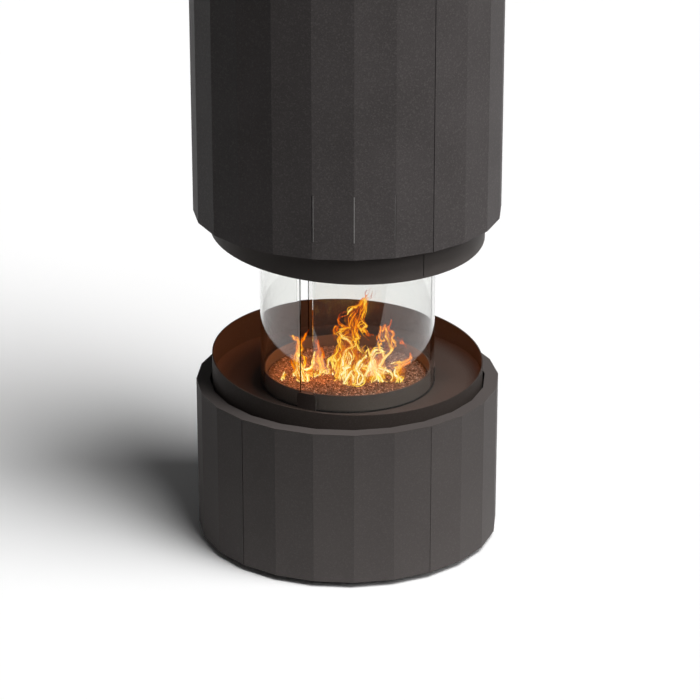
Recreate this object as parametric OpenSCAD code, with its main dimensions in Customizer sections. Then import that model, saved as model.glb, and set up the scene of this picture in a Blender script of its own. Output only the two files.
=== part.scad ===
// Round-bodied bioethanol fireplace: a faceted steel base with a slanted fire dish, a ring of
// three curved glass panels, and a faceted hood that hangs over it.
// Origin: middle of the floor under the base, +Z up. -Y is the lowest side of the slanted dish.

/* [Body] */
// How far the corners of the facets stand out past the dish ring and the collar
casing_step = 32; // [26:1:60]
// Height from the floor to the top of the hood
total_h = 2100; // [1900:10:2600]
// Thickness of the casing sheet
sheet_t = 2; // [1.5:0.25:3]
// Width of the seams where the casing sheet meets itself
seam_w = 1.6; // [1.2:0.1:2]

/* [Base] */
// Shadow gap between the floor and the casing
floor_gap = 12; // [10:1:20]
// Height of the base casing with its top flange
base_h = 310; // [290:5:380]
// Running gap between the ring of the dish and the hole in the top flange
flange_gap = 3; // [2:0.5:5]
// Thickness of the base plate
plate_t = 4; // [3:0.5:6]
// Width of the hem turned inwards at the foot of the casing
hem_w = 22; // [15:1:26]
// Radius of a levelling foot's pad
pad_r = 22; // [16:1:24]
// How far the levelling feet stand inside the corners of the casing
feet_inset = 55; // [55:1:90]
// Radius of a levelling foot's threaded stud
stud_r = 6; // [5:0.5:7]
// Outer radius of a support post
post_r = 14; // [10:1:16]
// Wall of a support post
post_wall = 2; // [1.5:0.5:3]
// How far the posts stand inside the dish ring
posts_inset = 43; // [30:1:50]

/* [Base door] */
// Gap between the door and the fixed casing on the hinge side
door_gap = 2; // [1.8:0.1:2.4]
// Gap at the free edge of the door and under the top flange
door_shut_gap = 1; // [0.8:0.1:1.6]
// How far the hinge pin lies behind the fixed casing, along the wall
hinge_back = 22; // [20:1:26]
// Radius of the door's hinge pins
hinge_pin_r = 4; // [3:0.5:4]
// Thickness of a hinge arm
hinge_arm_t = 6; // [4:1:8]

/* [Fire dish] */
// Width of the dish between the glass and the outside of the dish ring
dish_w = 96; // [84:1:130]
// Thickness of the dish and collar sheet
ring_t = 2; // [1.5:0.25:3]
// Slope of the two cuts, in degrees
slope = 4.25; // [3:0.25:6]
// Height of the middle of the dish ring's edge over the floor of the dish
rim_rise = 53; // [46:1:80]
// Depth of the dish floor below the top of the base
dish_drop = 7.5; // [5:0.5:12]
// Height of the curved edge of the dish floor
dish_cove_h = 14; // [8:1:20]
// Width of the curved edge of the dish floor
dish_cove_w = 34; // [16:1:40]

/* [Burner] */
// Inner radius of the burner ring
burner_r = 162.5; // [150:0.5:164]
// Wall of the burner ring
burner_wall = 2.5; // [1.5:0.5:2.5]
// Height of the burner ring over the dish floor
burner_h = 33; // [25:1:45]
// Depth of the granulate's surface below the burner ring's edge
bed_drop = 22; // [14:1:24]
// Depth of the fuel tank
tank_h = 80; // [60:5:100]
// Wall of the fuel tank
tank_wall = 2; // [1.5:0.5:3]
// Radius of the regulator's shaft
shaft_r = 5; // [4:0.5:6]
// Number of flame slots
slot_count = 8; // [6:1:10]
// Inner radius of the filler neck
neck_r = 12; // [10:1:13]

/* [Glass] */
// How far the outside of the glass stands out past the burner ring
glass_step = 7; // [6:0.5:12]
// Thickness of the glass
glass_t = 4; // [3:0.5:4]
// Air gap between two panels, along the circle
glass_gap = 28; // [24:1:34]
// Height of the glass panels
glass_h = 374; // [350:1:420]
// Width of a glass clip
clip_w = 40; // [38:1:50]
// Sheet of the glass clips
clip_t = 1.5; // [1:0.25:2]
// How far a panel can be lifted out of its clips
lift = 36; // [34:1:48]
// Depth to which the top channel holds the resting glass
top_bite = 10; // [6:1:20]

/* [Hood] */
// How far the glass reaches up into the hood
hood_bite = 14.5; // [4:0.5:20]
// How far the middle of the collar's slanted edge hangs below the hood
collar_drop = 42.5; // [36:0.5:60]
// How far the collar stands up inside the hood
collar_in = 22; // [16:1:30]
// How far the warm-air duct stands out past the glass
duct_step = 28; // [20:1:45]
// Thickness of the duct's sheet
duct_t = 1.5; // [1:0.25:2]
// Thickness of the top plate
top_t = 4; // [3:0.5:6]
// How far the fixing holes in the top plate lie inside the corners of the casing
fix_inset = 55; // [45:1:65]
// Radius of a fixing hole
fix_hole_r = 5.5; // [4.5:0.5:7]

/* [Hood hatch] */
// Gap between the hatch and the fixed casing on the hinge side
hatch_gap = 1.8; // [1.7:0.1:2.2]
// Gap along the other edges of the hatch
hatch_shut_gap = 1; // [0.8:0.1:1.4]
// Height of the hatch
hatch_h = 90; // [80:1:140]
// Height of the hatch's lower edge over the hood's lower edge
hatch_rise = 34; // [30:1:60]
// How far the hatch's pin lies behind the fixed casing, along the wall
hatch_back = 18; // [17:1:20]
// Radius of the hatch's pin
hatch_pin_r = 2.5; // [2:0.5:2.5]
// Thickness of a hatch arm
hatch_arm_t = 4; // [3:1:6]

/* [Hidden] */

// Fineness of true round forms
$fn = 96;
// Overrun of every cut
over = 1;
// Clearance between pieces that are fitted inside each other
fit = 0.3;
// Running clearance between a shaft and its bore
run = 0.05;
// Clearance of pieces that only stand beside or lie over each other
loose = 1;
// Number of facets on the casings
facets = 24;
facet_a = 360 / facets;
// Ratio between a facet polygon's inner and outer radius
flat_share = cos(facet_a / 2);

// Radii, from the burner out
burner_out = burner_r + burner_wall;
glass_r = burner_out + glass_step;
glass_in = glass_r - glass_t;
ring_r = glass_r + dish_w;
body_r = ring_r + casing_step;
feet_r = body_r - feet_inset;
posts_r = ring_r - posts_inset;
duct_r = glass_r + duct_step;
fix_r = body_r - fix_inset;

// Heights, from the floor up
casing_foot = floor_gap;
plate_z = casing_foot + sheet_t;
plate_top = plate_z + plate_t;
base_top = floor_gap + base_h;
dish_z = base_top - dish_drop;
pan_t = ring_t;
pan_under = dish_z - pan_t;
rim_z = dish_z + rim_rise;
cove_steps = 8;
cove_turn = 60;
burner_top = dish_z + burner_h;
bed_top = burner_top - bed_drop;
seal_t = 1.5;
seal_lip = 1;
glass_z = dish_z + seal_t;
glass_top = glass_z + glass_h;
hood_z = glass_top - hood_bite;
collar_z = hood_z - collar_drop;
hood_plate_z = hood_z + sheet_t;
collar_top = hood_z + collar_in;
top_z = total_h - top_t;

// Base plate and feet
plate_r = body_r * flat_share - sheet_t - fit - loose;
pad_h = floor_gap - sheet_t;
// Sizes of nuts and bolt heads, as shares of the radius of their thread
nut_r_share = 1.8;
nut_h_share = 1.4;
bolt_head_share = 1.7;
nut_h = stud_r * nut_h_share;
feet_angles = [45, 135, 225, 315];
post_angles = [25, 145, 265];
post_bolt_r = 5;
post_bolt_head = 5;
post_foot_t = 6;

// Door in the base: five facets of full height, hinged at the left, with its free edge at the front
door_from = -5 * facet_a;
door_to = 0;
door_z = casing_foot;
door_h = base_top - sheet_t - door_shut_gap - door_z;
door_arm_w = 8;
door_arm_leg = 16;
door_arm_reach = hinge_back + door_arm_leg;
door_arm_shares = [0.18, 0.82];
magnet_w = 30;
magnet_h = 18;
magnet_t = 8;
strike_t = 2;
// Depth of a pin behind a leaf's outer face, at which the boss of its arm clears the fixed wall
function pin_depth(back, w) = back * tan(facet_a) + (w + loose + sheet_t) / cos(facet_a);
hinge_in = pin_depth(hinge_back, door_arm_w);

// Dish support
support_t = 4;
support_z = pan_under - support_t;
support_in = posts_r - post_r - loose;

// Burner
tank_r = burner_r - tank_wall - loose / 2;
tank_z = pan_under - tank_h;
tank_flange_w = 22;
tank_flange_r = burner_r + tank_flange_w;
tank_studs_r = (burner_r + tank_flange_r) / 2;
tank_stud_r = 3;
tank_nut_h = tank_stud_r * nut_h_share;
tank_stud_angles = [10, 70, 130, 190, 250, 310];
bush_flange = 3;
bush_h = 12;
bed_r = burner_r - loose;
core_gap = 2;
core_wall = 2;
core_r = shaft_r + core_gap + core_wall;
cover_t = 2;
cover_share = 0.72;
cover_z = tank_z + tank_h * cover_share;
disc_t = 2;
disc_z = cover_z + cover_t + fit;
grate_rim = 4;
disc_r = tank_r - tank_wall - 2 * grate_rim - loose;
ledge_w = 7;
ledge_h = 4;
slot_in = 35;
slot_rim = 10;
slot_out = disc_r - slot_rim;
slot_lap_a = 1.5;
slot_a = 180 / slot_count - slot_lap_a;
grate_t = 2;
disc_room = 4;
grate_z = disc_z + disc_t + disc_room;
grate_hole_r = 6;
grate_pitch = 33;
grate_rings = 4;
bed_heap = 1.5;
bed_crown_share = 0.9;
lever_t = 5;
lever_w = 12;
lever_drop = 18;
lever_z = tank_z - lever_drop;
lever_past = 26;
lever_len = tank_r + lever_past;
lever_a = -37.5;
knob_r = 11;
// Outline of the knob, as shares of its radius
knob_shares = [[0, 0], [0.6, 0], [0.6, -0.5], [1, -1.1], [1, -2], [0.7, -2.3], [0, -2.3]];

// Filler neck: it leaves the tank's wall towards the door and climbs, so that fuel cannot run out
neck_wall = 2;
neck_tilt = 30;
neck_a = -60;
neck_rise = 18;
neck_root_z = tank_z + neck_rise;
neck_len = 60;
cap_wall = 5;
cap_r = neck_r + neck_wall + cap_wall;
cap_h = 16;
cap_skirt = 11;
cap_ribs = 12;
cap_rib = 1;
gasket_t = 2;

// Glass
clip_in = glass_in - fit - clip_t;
clip_out = glass_r + fit + clip_t;
clip_corner = 5;
clip_span = clip_w / glass_r * 180 / PI;
seal_play_a = loose / glass_r * 180 / PI;
gap_span = glass_gap / (glass_r - glass_t / 2) * 180 / PI;
panels = 3;
panel_a = 360 / panels;
clip_angles = [for (k = [0 : panels - 1]) (k - 1 / 2) * panel_a];
web_span = (glass_gap - 2 * loose) / (glass_r - glass_t / 2) * 180 / PI;
channel_t = 2;
channel_out = glass_r + fit + channel_t;
channel_z = glass_top - top_bite;
channel_room = 2;
channel_h = top_bite + lift + channel_room;
duct_z = collar_top + sheet_t;

// Hood
hatch_z = hood_z + hatch_rise;
hatch_from = -3 * facet_a;
hatch_to = -facet_a;
hatch_arm_w = 6;
hatch_arm_leg = 12;
hatch_arm_reach = hatch_back + hatch_arm_leg;
hatch_arm_shares = [0.22, 0.78];
hatch_in = pin_depth(hatch_back, hatch_arm_w);
ear_t = 4;
pin_head = 2;
strip_t = 1.5;
strip_w = 28;
collar_lip = 10;
frame_w = 24;
frame_t = 3;
frame_shares = [0.36, 0.68];
hanger_t = 6;
hanger_w = 40;
fix_angles = [45, 135, 225, 315];
tab_w = 30;
tab_h = 24;
tab_t = 3;
tab_foot = body_r * flat_share - sheet_t - ring_r - collar_lip - loose;
tab_angles = [22.5, 67.5, 112.5, 157.5, 202.5, 247.5, 292.5, 337.5];
mouth_lip = 10;
mouth_r = duct_r - mouth_lip;

// Colours
anthracite = "#3a3838";
graphite = "#2e2c2c";
steel = "#b9bcc0";
dark_steel = "#6b6d70";
stone = "#8a6a55";
fibre = "#efece4";
rubber = "#202020";
clear_glass = [0.8, 0.88, 0.88, 0.3];

// A point at radius r and azimuth a, where azimuth 0 is the front and grows towards +X
function at(r, a) = [r * sin(a), -r * cos(a)];
// Corner radius of a facet polygon whose flats lie t inside those of radius r
function inset(r, t) = r - t / flat_share;

// Solid with one facet per step, corner radius r
module facet_prism(r, h) {
    linear_extrude(height = h)
        polygon([for (k = [0 : facets - 1]) at(r, k * facet_a)]);
}

// Faceted tube with its wall measured square to the flats
module facet_tube(r, wall, h) {
    difference() {
        facet_prism(r, h);
        translate([0, 0, -over])
            facet_prism(inset(r, wall), h + 2 * over);
    }
}

// Round tube
module tube(r_out, r_in, h) {
    difference() {
        cylinder(r = r_out, h = h);
        translate([0, 0, -over])
            cylinder(r = r_in, h = h + 2 * over);
    }
}

// Wedge from azimuth a0 to a1 that reaches past radius r
module wedge(a0, a1, r, h) {
    steps = 4;
    reach = r / cos((a1 - a0) / steps / 2) + over;
    linear_extrude(height = h)
        polygon(concat([[0, 0]], [for (k = [0 : steps]) at(reach, a0 + (a1 - a0) * k / steps)]));
}

// Everything under the slanted plane that crosses the axis at height z
module under_slant(z) {
    deep = 2 * body_r;
    translate([0, 0, z])
        rotate([slope, 0, 0])
            translate([-deep, -deep, -deep])
                cube([2 * deep, 2 * deep, deep]);
}

// Local frame of a hinge at a leaf's left edge: the origin on the pin, +X along the leaf, +Y outwards
module hinge_frame(facet_mid, back, inward) {
    edge = at(body_r, facet_mid - facet_a / 2);
    translate([edge[0], edge[1], 0])
        rotate([0, 0, 180 + facet_mid])
            mirror([1, 0, 0])
                translate([-back, -inward, 0])
                    children();
}

// Flat crank arm that carries a leaf round the edge of the fixed wall
module crank_arm(back, reach, inward, w, t, pin_r) {
    deep = back + w;
    difference() {
        union() {
            cylinder(r = w, h = t);
            translate([-w / 2, -deep - w / 2, 0])
                cube([w, deep + w / 2, t]);
            translate([-w / 2, -deep - w / 2, 0])
                cube([reach + w, w, t]);
            translate([reach - w / 2, -deep - w / 2, 0])
                cube([w, deep + w / 2 + inward - sheet_t, t]);
        }
        translate([0, 0, -over])
            cylinder(r = pin_r + run, h = t + 2 * over);
    }
}

// Ear that holds a hinge pin, cut to the inside of the casing
module pin_ear(facet_mid, back, inward, w, pin_r, z) {
    intersection() {
        translate([0, 0, z])
            hinge_frame(facet_mid, back, inward)
                difference() {
                    union() {
                        cylinder(r = w, h = ear_t);
                        translate([-w, 0, 0])
                            cube([2 * w, inward + w, ear_t]);
                    }
                    translate([0, 0, -over])
                        cylinder(r = pin_r + run, h = ear_t + 2 * over);
                }
        translate([0, 0, z - over])
            facet_prism(inset(body_r, sheet_t), ear_t + 2 * over);
    }
}

// Pin with a head under its ear, up through the arm that turns on it
module hinge_pin(facet_mid, back, inward, pin_r, arm_t, z) {
    translate([0, 0, z])
        hinge_frame(facet_mid, back, inward) {
            translate([0, 0, -pin_head])
                cylinder(r = pin_r + pin_head, h = pin_head);
            cylinder(r = pin_r, h = ear_t + fit + arm_t + pin_head);
        }
}

// Angle that half a gap takes up at the casing
function half_gap(g) = g / 2 / body_r * 180 / PI;

// Part of the casing wall between two azimuths
module wall_part(a0, a1, wall, r, z, h) {
    translate([0, 0, z])
        intersection() {
            facet_tube(r, wall, h);
            translate([0, 0, -over])
                wedge(a0, a1, body_r, h + 2 * over);
        }
}

// Part of a round tube between two azimuths
module arc_part(a0, a1, r_out, r_in, z, h) {
    translate([0, 0, z])
        intersection() {
            tube(r_out, r_in, h);
            translate([0, 0, -over])
                wedge(a0, a1, r_out, h + 2 * over);
        }
}

// Ring of slots shaped like slices, each 2 * half_a wide
module slice_slots(r_in, r_out, half_a, count, h) {
    steps = 4;
    for (k = [0 : count - 1])
        linear_extrude(height = h)
            polygon(concat(
                [for (j = [0 : steps]) at(r_in, k * 360 / count - half_a + 2 * half_a * j / steps)],
                [for (j = [0 : steps]) at(r_out, k * 360 / count + half_a - 2 * half_a * j / steps)]));
}

// Upright plate with two round upper corners, pushed outwards from the axis
module clip_outline(w, h, corner, depth) {
    rotate([90, 0, 0])
        linear_extrude(height = depth)
            union() {
                translate([-w / 2, 0])
                    square([w, h - corner]);
                translate([-w / 2 + corner, 0])
                    square([w - 2 * corner, h]);
                for (side = [-1, 1])
                    translate([side * (w / 2 - corner), h - corner])
                        circle(r = corner);
            }
}

// Puts children at one height on a circle, once for each angle
module ring_of(angles, r, z) {
    for (a = angles)
        rotate([0, 0, a])
            translate([0, -r, z])
                children();
}

// Faceted casing of the base, with a hem at its foot, open where the door is
module base_casing() {
    color(anthracite)
        difference() {
            union() {
                translate([0, 0, casing_foot])
                    facet_tube(body_r, sheet_t, base_top - sheet_t - casing_foot);
                translate([0, 0, casing_foot])
                    facet_tube(body_r, hem_w, sheet_t);
            }
            translate([0, 0, door_z - over])
                difference() {
                    wedge(door_from - half_gap(door_gap), door_to + half_gap(door_shut_gap), body_r, base_h);
                    translate([0, 0, -over])
                        cylinder(r = plate_r, h = base_h + 2 * over);
                }
        }
}

// Flat faceted top of the base, with the hole that the dish stands in
module base_top_flange() {
    color(anthracite)
        translate([0, 0, base_top - sheet_t])
            difference() {
                facet_prism(body_r, sheet_t);
                translate([0, 0, -over])
                    facet_prism((ring_r + flange_gap) / flat_share, sheet_t + 2 * over);
            }
}

// Round plate that lies on the hem and carries the feet and the posts
module base_plate() {
    color(dark_steel)
        translate([0, 0, plate_z])
            difference() {
                cylinder(r = plate_r, h = plate_t);
                ring_of(feet_angles, feet_r, -over)
                    cylinder(r = stud_r + run, h = plate_t + 2 * over);
                ring_of(post_angles, posts_r, -over)
                    cylinder(r = post_bolt_r + run, h = plate_t + 2 * over);
            }
}

// Levelling feet: round pads on threaded studs
module levelling_feet() {
    color(rubber)
        ring_of(feet_angles, feet_r, 0)
            union() {
                cylinder(r = pad_r, h = pad_h);
                cylinder(r = stud_r, h = plate_top + nut_h + sheet_t);
            }
}

// Nuts that lock the levelling feet
module foot_nuts() {
    color(steel)
        ring_of(feet_angles, feet_r, plate_top)
            difference() {
                cylinder(r = stud_r * nut_r_share, h = nut_h, $fn = 6);
                translate([0, 0, -over])
                    cylinder(r = stud_r + run, h = nut_h + 2 * over);
            }
}

// Tubes that carry the dish, each with a closed foot
module support_posts() {
    color(dark_steel)
        ring_of(post_angles, posts_r, plate_top)
            difference() {
                cylinder(r = post_r, h = support_z - plate_top);
                translate([0, 0, post_foot_t])
                    cylinder(r = post_r - post_wall, h = support_z - plate_top);
                translate([0, 0, -over])
                    cylinder(r = post_bolt_r + run, h = post_foot_t + 2 * over);
            }
}

// Bolts that hold the posts from under the base plate
module post_bolts() {
    color(steel)
        ring_of(post_angles, posts_r, 0)
            union() {
                translate([0, 0, plate_z - post_bolt_head])
                    cylinder(r = post_bolt_r * bolt_head_share, h = post_bolt_head);
                translate([0, 0, plate_z - post_bolt_head])
                    cylinder(r = post_bolt_r, h = post_bolt_head + plate_t + post_foot_t);
            }
}

// Flat ring on the posts, under the dish
module dish_support_ring() {
    color(dark_steel)
        translate([0, 0, support_z])
            tube(ring_r, support_in, support_t);
}

// Curved edge of the dish floor from height z up, with one point for each of the given steps
function cove(z, steps) = [for (k = steps) let (turn = cove_turn * k / cove_steps)
    [ring_r - ring_t - fit - dish_cove_w * (1 - sin(turn) / sin(cove_turn)),
        z + dish_cove_h * (1 - cos(turn)) / (1 - cos(cove_turn))]];

// Floor of the dish, curving up at its edge
module dish_pan() {
    color(anthracite)
        rotate_extrude()
            polygon(concat(
                [[burner_r, pan_under]],
                cove(pan_under, [0 : cove_steps]),
                cove(dish_z, [cove_steps : -1 : 0]),
                [[burner_r, dish_z]]));
}

// Round wall of the dish, cut on a slant
module dish_ring() {
    color(anthracite)
        intersection() {
            translate([0, 0, pan_under])
                tube(ring_r, ring_r - ring_t, 2 * rim_rise);
            under_slant(rim_z);
        }
}

// Low upright ring round the fire
module burner_ring() {
    color(graphite)
        translate([0, 0, dish_z])
            tube(burner_out, burner_r, burner_h);
}

// Inclined cylinder along the filler neck, from inside the tank's wall
module neck_rod(r, from, len) {
    rotate([0, 0, neck_a])
        translate([0, -(tank_r - tank_wall), neck_root_z])
            rotate([90 - neck_tilt, 0, 0])
                translate([0, 0, from])
                    cylinder(r = r, h = len);
}

// Fuel tank: hung by its flange, with a ledge for the cover and a dry core for the shaft
module fuel_tank() {
    tank_in = tank_r - tank_wall;
    color(steel)
        difference() {
            union() {
                translate([0, 0, tank_z])
                    tube(tank_r, tank_in, tank_h);
                translate([0, 0, tank_z])
                    tube(tank_r, core_r - core_wall, tank_wall);
                translate([0, 0, tank_z])
                    tube(core_r, core_r - core_wall, cover_z - tank_z);
                translate([0, 0, cover_z - ledge_h])
                    tube(tank_r, tank_in - ledge_w, ledge_h);
                translate([0, 0, pan_under - tank_wall])
                    tube(tank_flange_r, tank_in, tank_wall);
            }
            neck_rod(neck_r, -neck_len / 2, neck_len);
            ring_of(tank_stud_angles, tank_studs_r, pan_under - tank_wall - over)
                cylinder(r = tank_stud_r + run, h = tank_wall + 2 * over);
        }
}

// Studs welded under the dish floor, with the nuts that hold the tank's flange
module tank_studs() {
    color(steel)
        ring_of(tank_stud_angles, tank_studs_r, 0)
            union() {
                translate([0, 0, pan_under - tank_wall - tank_nut_h])
                    cylinder(r = tank_stud_r * nut_r_share, h = tank_nut_h, $fn = 6);
                translate([0, 0, pan_under - tank_wall - tank_nut_h - tank_stud_r])
                    cylinder(r = tank_stud_r, h = tank_wall + tank_nut_h + tank_stud_r);
            }
}

// Neck that the fuel is filled through
module filler_neck() {
    color(steel)
        difference() {
            neck_rod(neck_r + neck_wall, 0, neck_len);
            neck_rod(neck_r, -over, neck_len + 2 * over);
            translate([0, 0, tank_z - neck_len])
                cylinder(r = tank_r, h = tank_h + 2 * neck_len);
        }
}

// Ceramic-fibre pad that soaks up the fuel
module wick_pad() {
    color(fibre)
        translate([0, 0, tank_z + tank_wall])
            tube(tank_r - tank_wall - fit, core_r + fit, cover_z - ledge_h - tank_z - tank_wall - fit);
}

// Fixed slotted cover of the tank
module tank_cover() {
    color(steel)
        translate([0, 0, cover_z])
            difference() {
                cylinder(r = tank_r - tank_wall - fit, h = cover_t);
                translate([0, 0, -over])
                    cylinder(r = shaft_r + run, h = cover_t + 2 * over);
                translate([0, 0, -over])
                    slice_slots(slot_in, slot_out, slot_a / 2, slot_count, cover_t + 2 * over);
            }
}

// Flanged bush in the lower end of the tank's core
module shaft_bush() {
    color("#8c7a4a")
        difference() {
            union() {
                translate([0, 0, tank_z - bush_flange])
                    cylinder(r = core_r + core_wall, h = bush_flange);
                translate([0, 0, tank_z - bush_flange])
                    cylinder(r = core_r - core_wall - run, h = bush_flange + bush_h);
            }
            translate([0, 0, tank_z - bush_flange - over])
                cylinder(r = shaft_r + run, h = bush_flange + bush_h + 2 * over);
        }
}

// Perforated grate that keeps the granulate off the regulator
module granulate_grate() {
    grate_r = tank_r - tank_wall - fit;
    color(steel)
        difference() {
            union() {
                translate([0, 0, grate_z])
                    cylinder(r = grate_r, h = grate_t);
                translate([0, 0, cover_z + cover_t])
                    tube(grate_r, grate_r - grate_rim, grate_z - cover_z - cover_t);
            }
            for (ring = [1 : grate_rings])
                for (k = [0 : 6 * ring - 1])
                    rotate([0, 0, k * 60 / ring])
                        translate([0, -ring * grate_pitch, grate_z - over])
                            cylinder(r = grate_hole_r, h = grate_t + 2 * over);
        }
}

// Bed of loose ceramic granulate, slightly heaped
module granulate_bed() {
    bed_low_r = tank_r - tank_wall - fit;
    color(stone)
        rotate_extrude()
            polygon([
                [0, grate_z + grate_t],
                [bed_low_r, grate_z + grate_t],
                [bed_low_r, pan_under],
                [bed_r, pan_under],
                [bed_r, bed_top - bed_heap],
                [bed_r * bed_crown_share, bed_top],
                [0, bed_top + bed_heap]]);
}

// Clips that hold the lower corners of neighbouring panels, one in each air gap
module glass_clips() {
    color(graphite)
        for (a = clip_angles)
            translate([0, 0, dish_z])
                rotate([0, 0, a])
                    intersection() {
                        union() {
                            tube(clip_in + clip_t, clip_in, burner_h);
                            tube(clip_out, clip_out - clip_t, burner_h);
                            arc_part(-web_span / 2, web_span / 2, clip_out, clip_in, 0, burner_h);
                        }
                        clip_outline(clip_w, burner_h, clip_corner, clip_out + over);
                    }
}

// Flat seals under the panels
module glass_seals() {
    color(rubber)
        for (a = clip_angles)
            arc_part(a + clip_span / 2 + seal_play_a, a + panel_a - clip_span / 2 - seal_play_a,
                glass_r + seal_lip, glass_in - seal_lip, dish_z, seal_t);
}

// One curved glass panel, so many panels round from the front
module glass_panel(k) {
    color(clear_glass)
        arc_part((k - 1 / 2) * panel_a + gap_span / 2, (k + 1 / 2) * panel_a - gap_span / 2,
            glass_r, glass_in, glass_z, glass_h);
}

module glass_panel_front() {
    glass_panel(0);
}

module glass_panel_right() {
    glass_panel(1);
}

module glass_panel_left() {
    glass_panel(2);
}

// Ears for the door's pins, on the inside of the fixed casing
module door_hinge_brackets() {
    color(dark_steel)
        for (share = door_arm_shares)
            pin_ear(door_from + facet_a / 2, hinge_back, hinge_in, door_arm_w, hinge_pin_r,
                door_z + door_h * share - fit - ear_t);
}

module door_hinge_pins() {
    color(steel)
        for (share = door_arm_shares)
            hinge_pin(door_from + facet_a / 2, hinge_back, hinge_in, hinge_pin_r, hinge_arm_t,
                door_z + door_h * share - fit - ear_t);
}

// Magnet catch: a block on the fixed wall that reaches behind a leaf's free edge
module magnet_block(edge_a, gap, w, h, z) {
    reach_a = w / body_r * 180 / PI;
    difference() {
        wall_part(edge_a - reach_a, edge_a + reach_a, magnet_t, inset(body_r, sheet_t), z, h);
        wall_part(edge_a - 2 * reach_a, edge_a + half_gap(gap) * 2, sheet_t + strike_t + fit,
            body_r, z - over, h + 2 * over);
    }
}

// Strike plate on the inside of a leaf, at its free edge
module strike_plate(edge_a, gap, w, h, z) {
    reach_a = w / body_r * 180 / PI;
    wall_part(edge_a - reach_a, edge_a - half_gap(gap), strike_t, inset(body_r, sheet_t), z, h);
}

module door_magnets() {
    color(graphite)
        for (share = door_arm_shares)
            magnet_block(door_to, door_shut_gap, magnet_w, magnet_h, door_z + door_h * share);
}

// Five-facet door in the base
module base_door() {
    color(anthracite)
        wall_part(door_from + half_gap(door_gap), door_to - half_gap(door_shut_gap), sheet_t, body_r,
            door_z, door_h);
}

module door_hinge_arms() {
    color(dark_steel)
        for (share = door_arm_shares)
            translate([0, 0, door_z + door_h * share])
                hinge_frame(door_from + facet_a / 2, hinge_back, hinge_in)
                    crank_arm(hinge_back, door_arm_reach, hinge_in, door_arm_w, hinge_arm_t,
                        hinge_pin_r);
}

module door_strikes() {
    color(steel)
        for (share = door_arm_shares)
            strike_plate(door_to, door_shut_gap, magnet_w, magnet_h, door_z + door_h * share);
}

// Ribbed quarter-turn cap of the filler neck
module filler_cap() {
    color(graphite)
        difference() {
            union() {
                neck_rod(cap_r, neck_len + gasket_t - cap_skirt, cap_h);
                for (k = [0 : cap_ribs - 1])
                    rotate([0, 0, neck_a])
                        translate([0, -(tank_r - tank_wall), neck_root_z])
                            rotate([90 - neck_tilt, 0, 0])
                                rotate([0, 0, k * 360 / cap_ribs])
                                    translate([cap_r - cap_rib, -cap_rib, neck_len + gasket_t - cap_skirt])
                                        cube([2 * cap_rib, 2 * cap_rib, cap_h]);
            }
            neck_rod(neck_r + neck_wall + fit, -over, neck_len + gasket_t + over);
        }
}

module cap_gasket() {
    color(rubber)
        difference() {
            neck_rod(neck_r + neck_wall, neck_len + fit / 2, gasket_t - fit / 2);
            neck_rod(neck_r - neck_wall, neck_len - over, gasket_t + 2 * over);
        }
}

// Turning slotted disc that closes the flame slots
module regulator_disc() {
    color(steel)
        translate([0, 0, disc_z])
            difference() {
                cylinder(r = disc_r, h = disc_t);
                translate([0, 0, -over])
                    slice_slots(slot_in, slot_out, slot_a / 2, slot_count, disc_t + 2 * over);
            }
}

module regulator_shaft() {
    color(steel)
        translate([0, 0, lever_z - over])
            cylinder(r = shaft_r, h = disc_z - lever_z + over);
}

// Lever under the tank, reached through the door
module regulator_lever() {
    color(dark_steel)
        translate([0, 0, lever_z])
            rotate([0, 0, lever_a])
                difference() {
                    union() {
                        cylinder(r = lever_w, h = lever_t);
                        translate([-lever_w / 2, -lever_len, 0])
                            cube([lever_w, lever_len, lever_t]);
                        translate([0, -lever_len, 0])
                            cylinder(r = lever_w / 2, h = lever_t);
                    }
                    translate([0, 0, -over])
                        cylinder(r = shaft_r + run, h = lever_t + 2 * over);
                }
}

module lever_knob() {
    color(rubber)
        rotate([0, 0, lever_a])
            translate([0, -lever_len, lever_z])
                rotate_extrude()
                    polygon(knob_r * knob_shares);
}

// Deep ring channel that the upper edges of the panels stand in
module glass_top_channel() {
    color(graphite)
        translate([0, 0, channel_z])
            union() {
                tube(glass_in - fit, glass_in - fit - channel_t, channel_h + channel_t);
                tube(channel_out, channel_out - channel_t, channel_h + channel_t);
                translate([0, 0, channel_h])
                    tube(channel_out, glass_in - fit - channel_t, channel_t);
            }
}

// Round collar under the hood, cut on a slant, with a flange that lies on the hood's floor
module collar() {
    color(anthracite)
        difference() {
            union() {
                translate([0, 0, collar_z - ring_r])
                    tube(ring_r, ring_r - ring_t, collar_top - collar_z + ring_r);
                translate([0, 0, hood_plate_z + sheet_t])
                    tube(ring_r + collar_lip, ring_r - ring_t, sheet_t);
            }
            under_slant(collar_z);
            translate([-seam_w / 2, -ring_r - over, 0])
                cube([seam_w, ring_t + 2 * over, hood_plate_z]);
        }
}

// Flat ring on the collar that holds the glass channel and closes the hood round it
module collar_plate() {
    color(dark_steel)
        translate([0, 0, collar_top])
            tube(ring_r, channel_out + run, sheet_t);
}

// Strip behind the seam of the collar
module collar_seam_strip() {
    strip_in = ring_r - ring_t - strip_t;
    strip_a = strip_w / ring_r * 180 / PI / 2;
    color(dark_steel)
        difference() {
            arc_part(-strip_a, strip_a, strip_in + strip_t - run, strip_in, collar_z - ring_r / 2,
                collar_top - over - collar_z + ring_r / 2);
            under_slant(collar_z + strip_t);
        }
}

// Faceted floor of the hood, round the collar
module hood_base_plate() {
    color(anthracite)
        translate([0, 0, hood_plate_z])
            difference() {
                facet_prism(inset(body_r, sheet_t) - fit, sheet_t);
                translate([0, 0, -over])
                    cylinder(r = ring_r + fit, h = sheet_t + 2 * over);
            }
}

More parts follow.
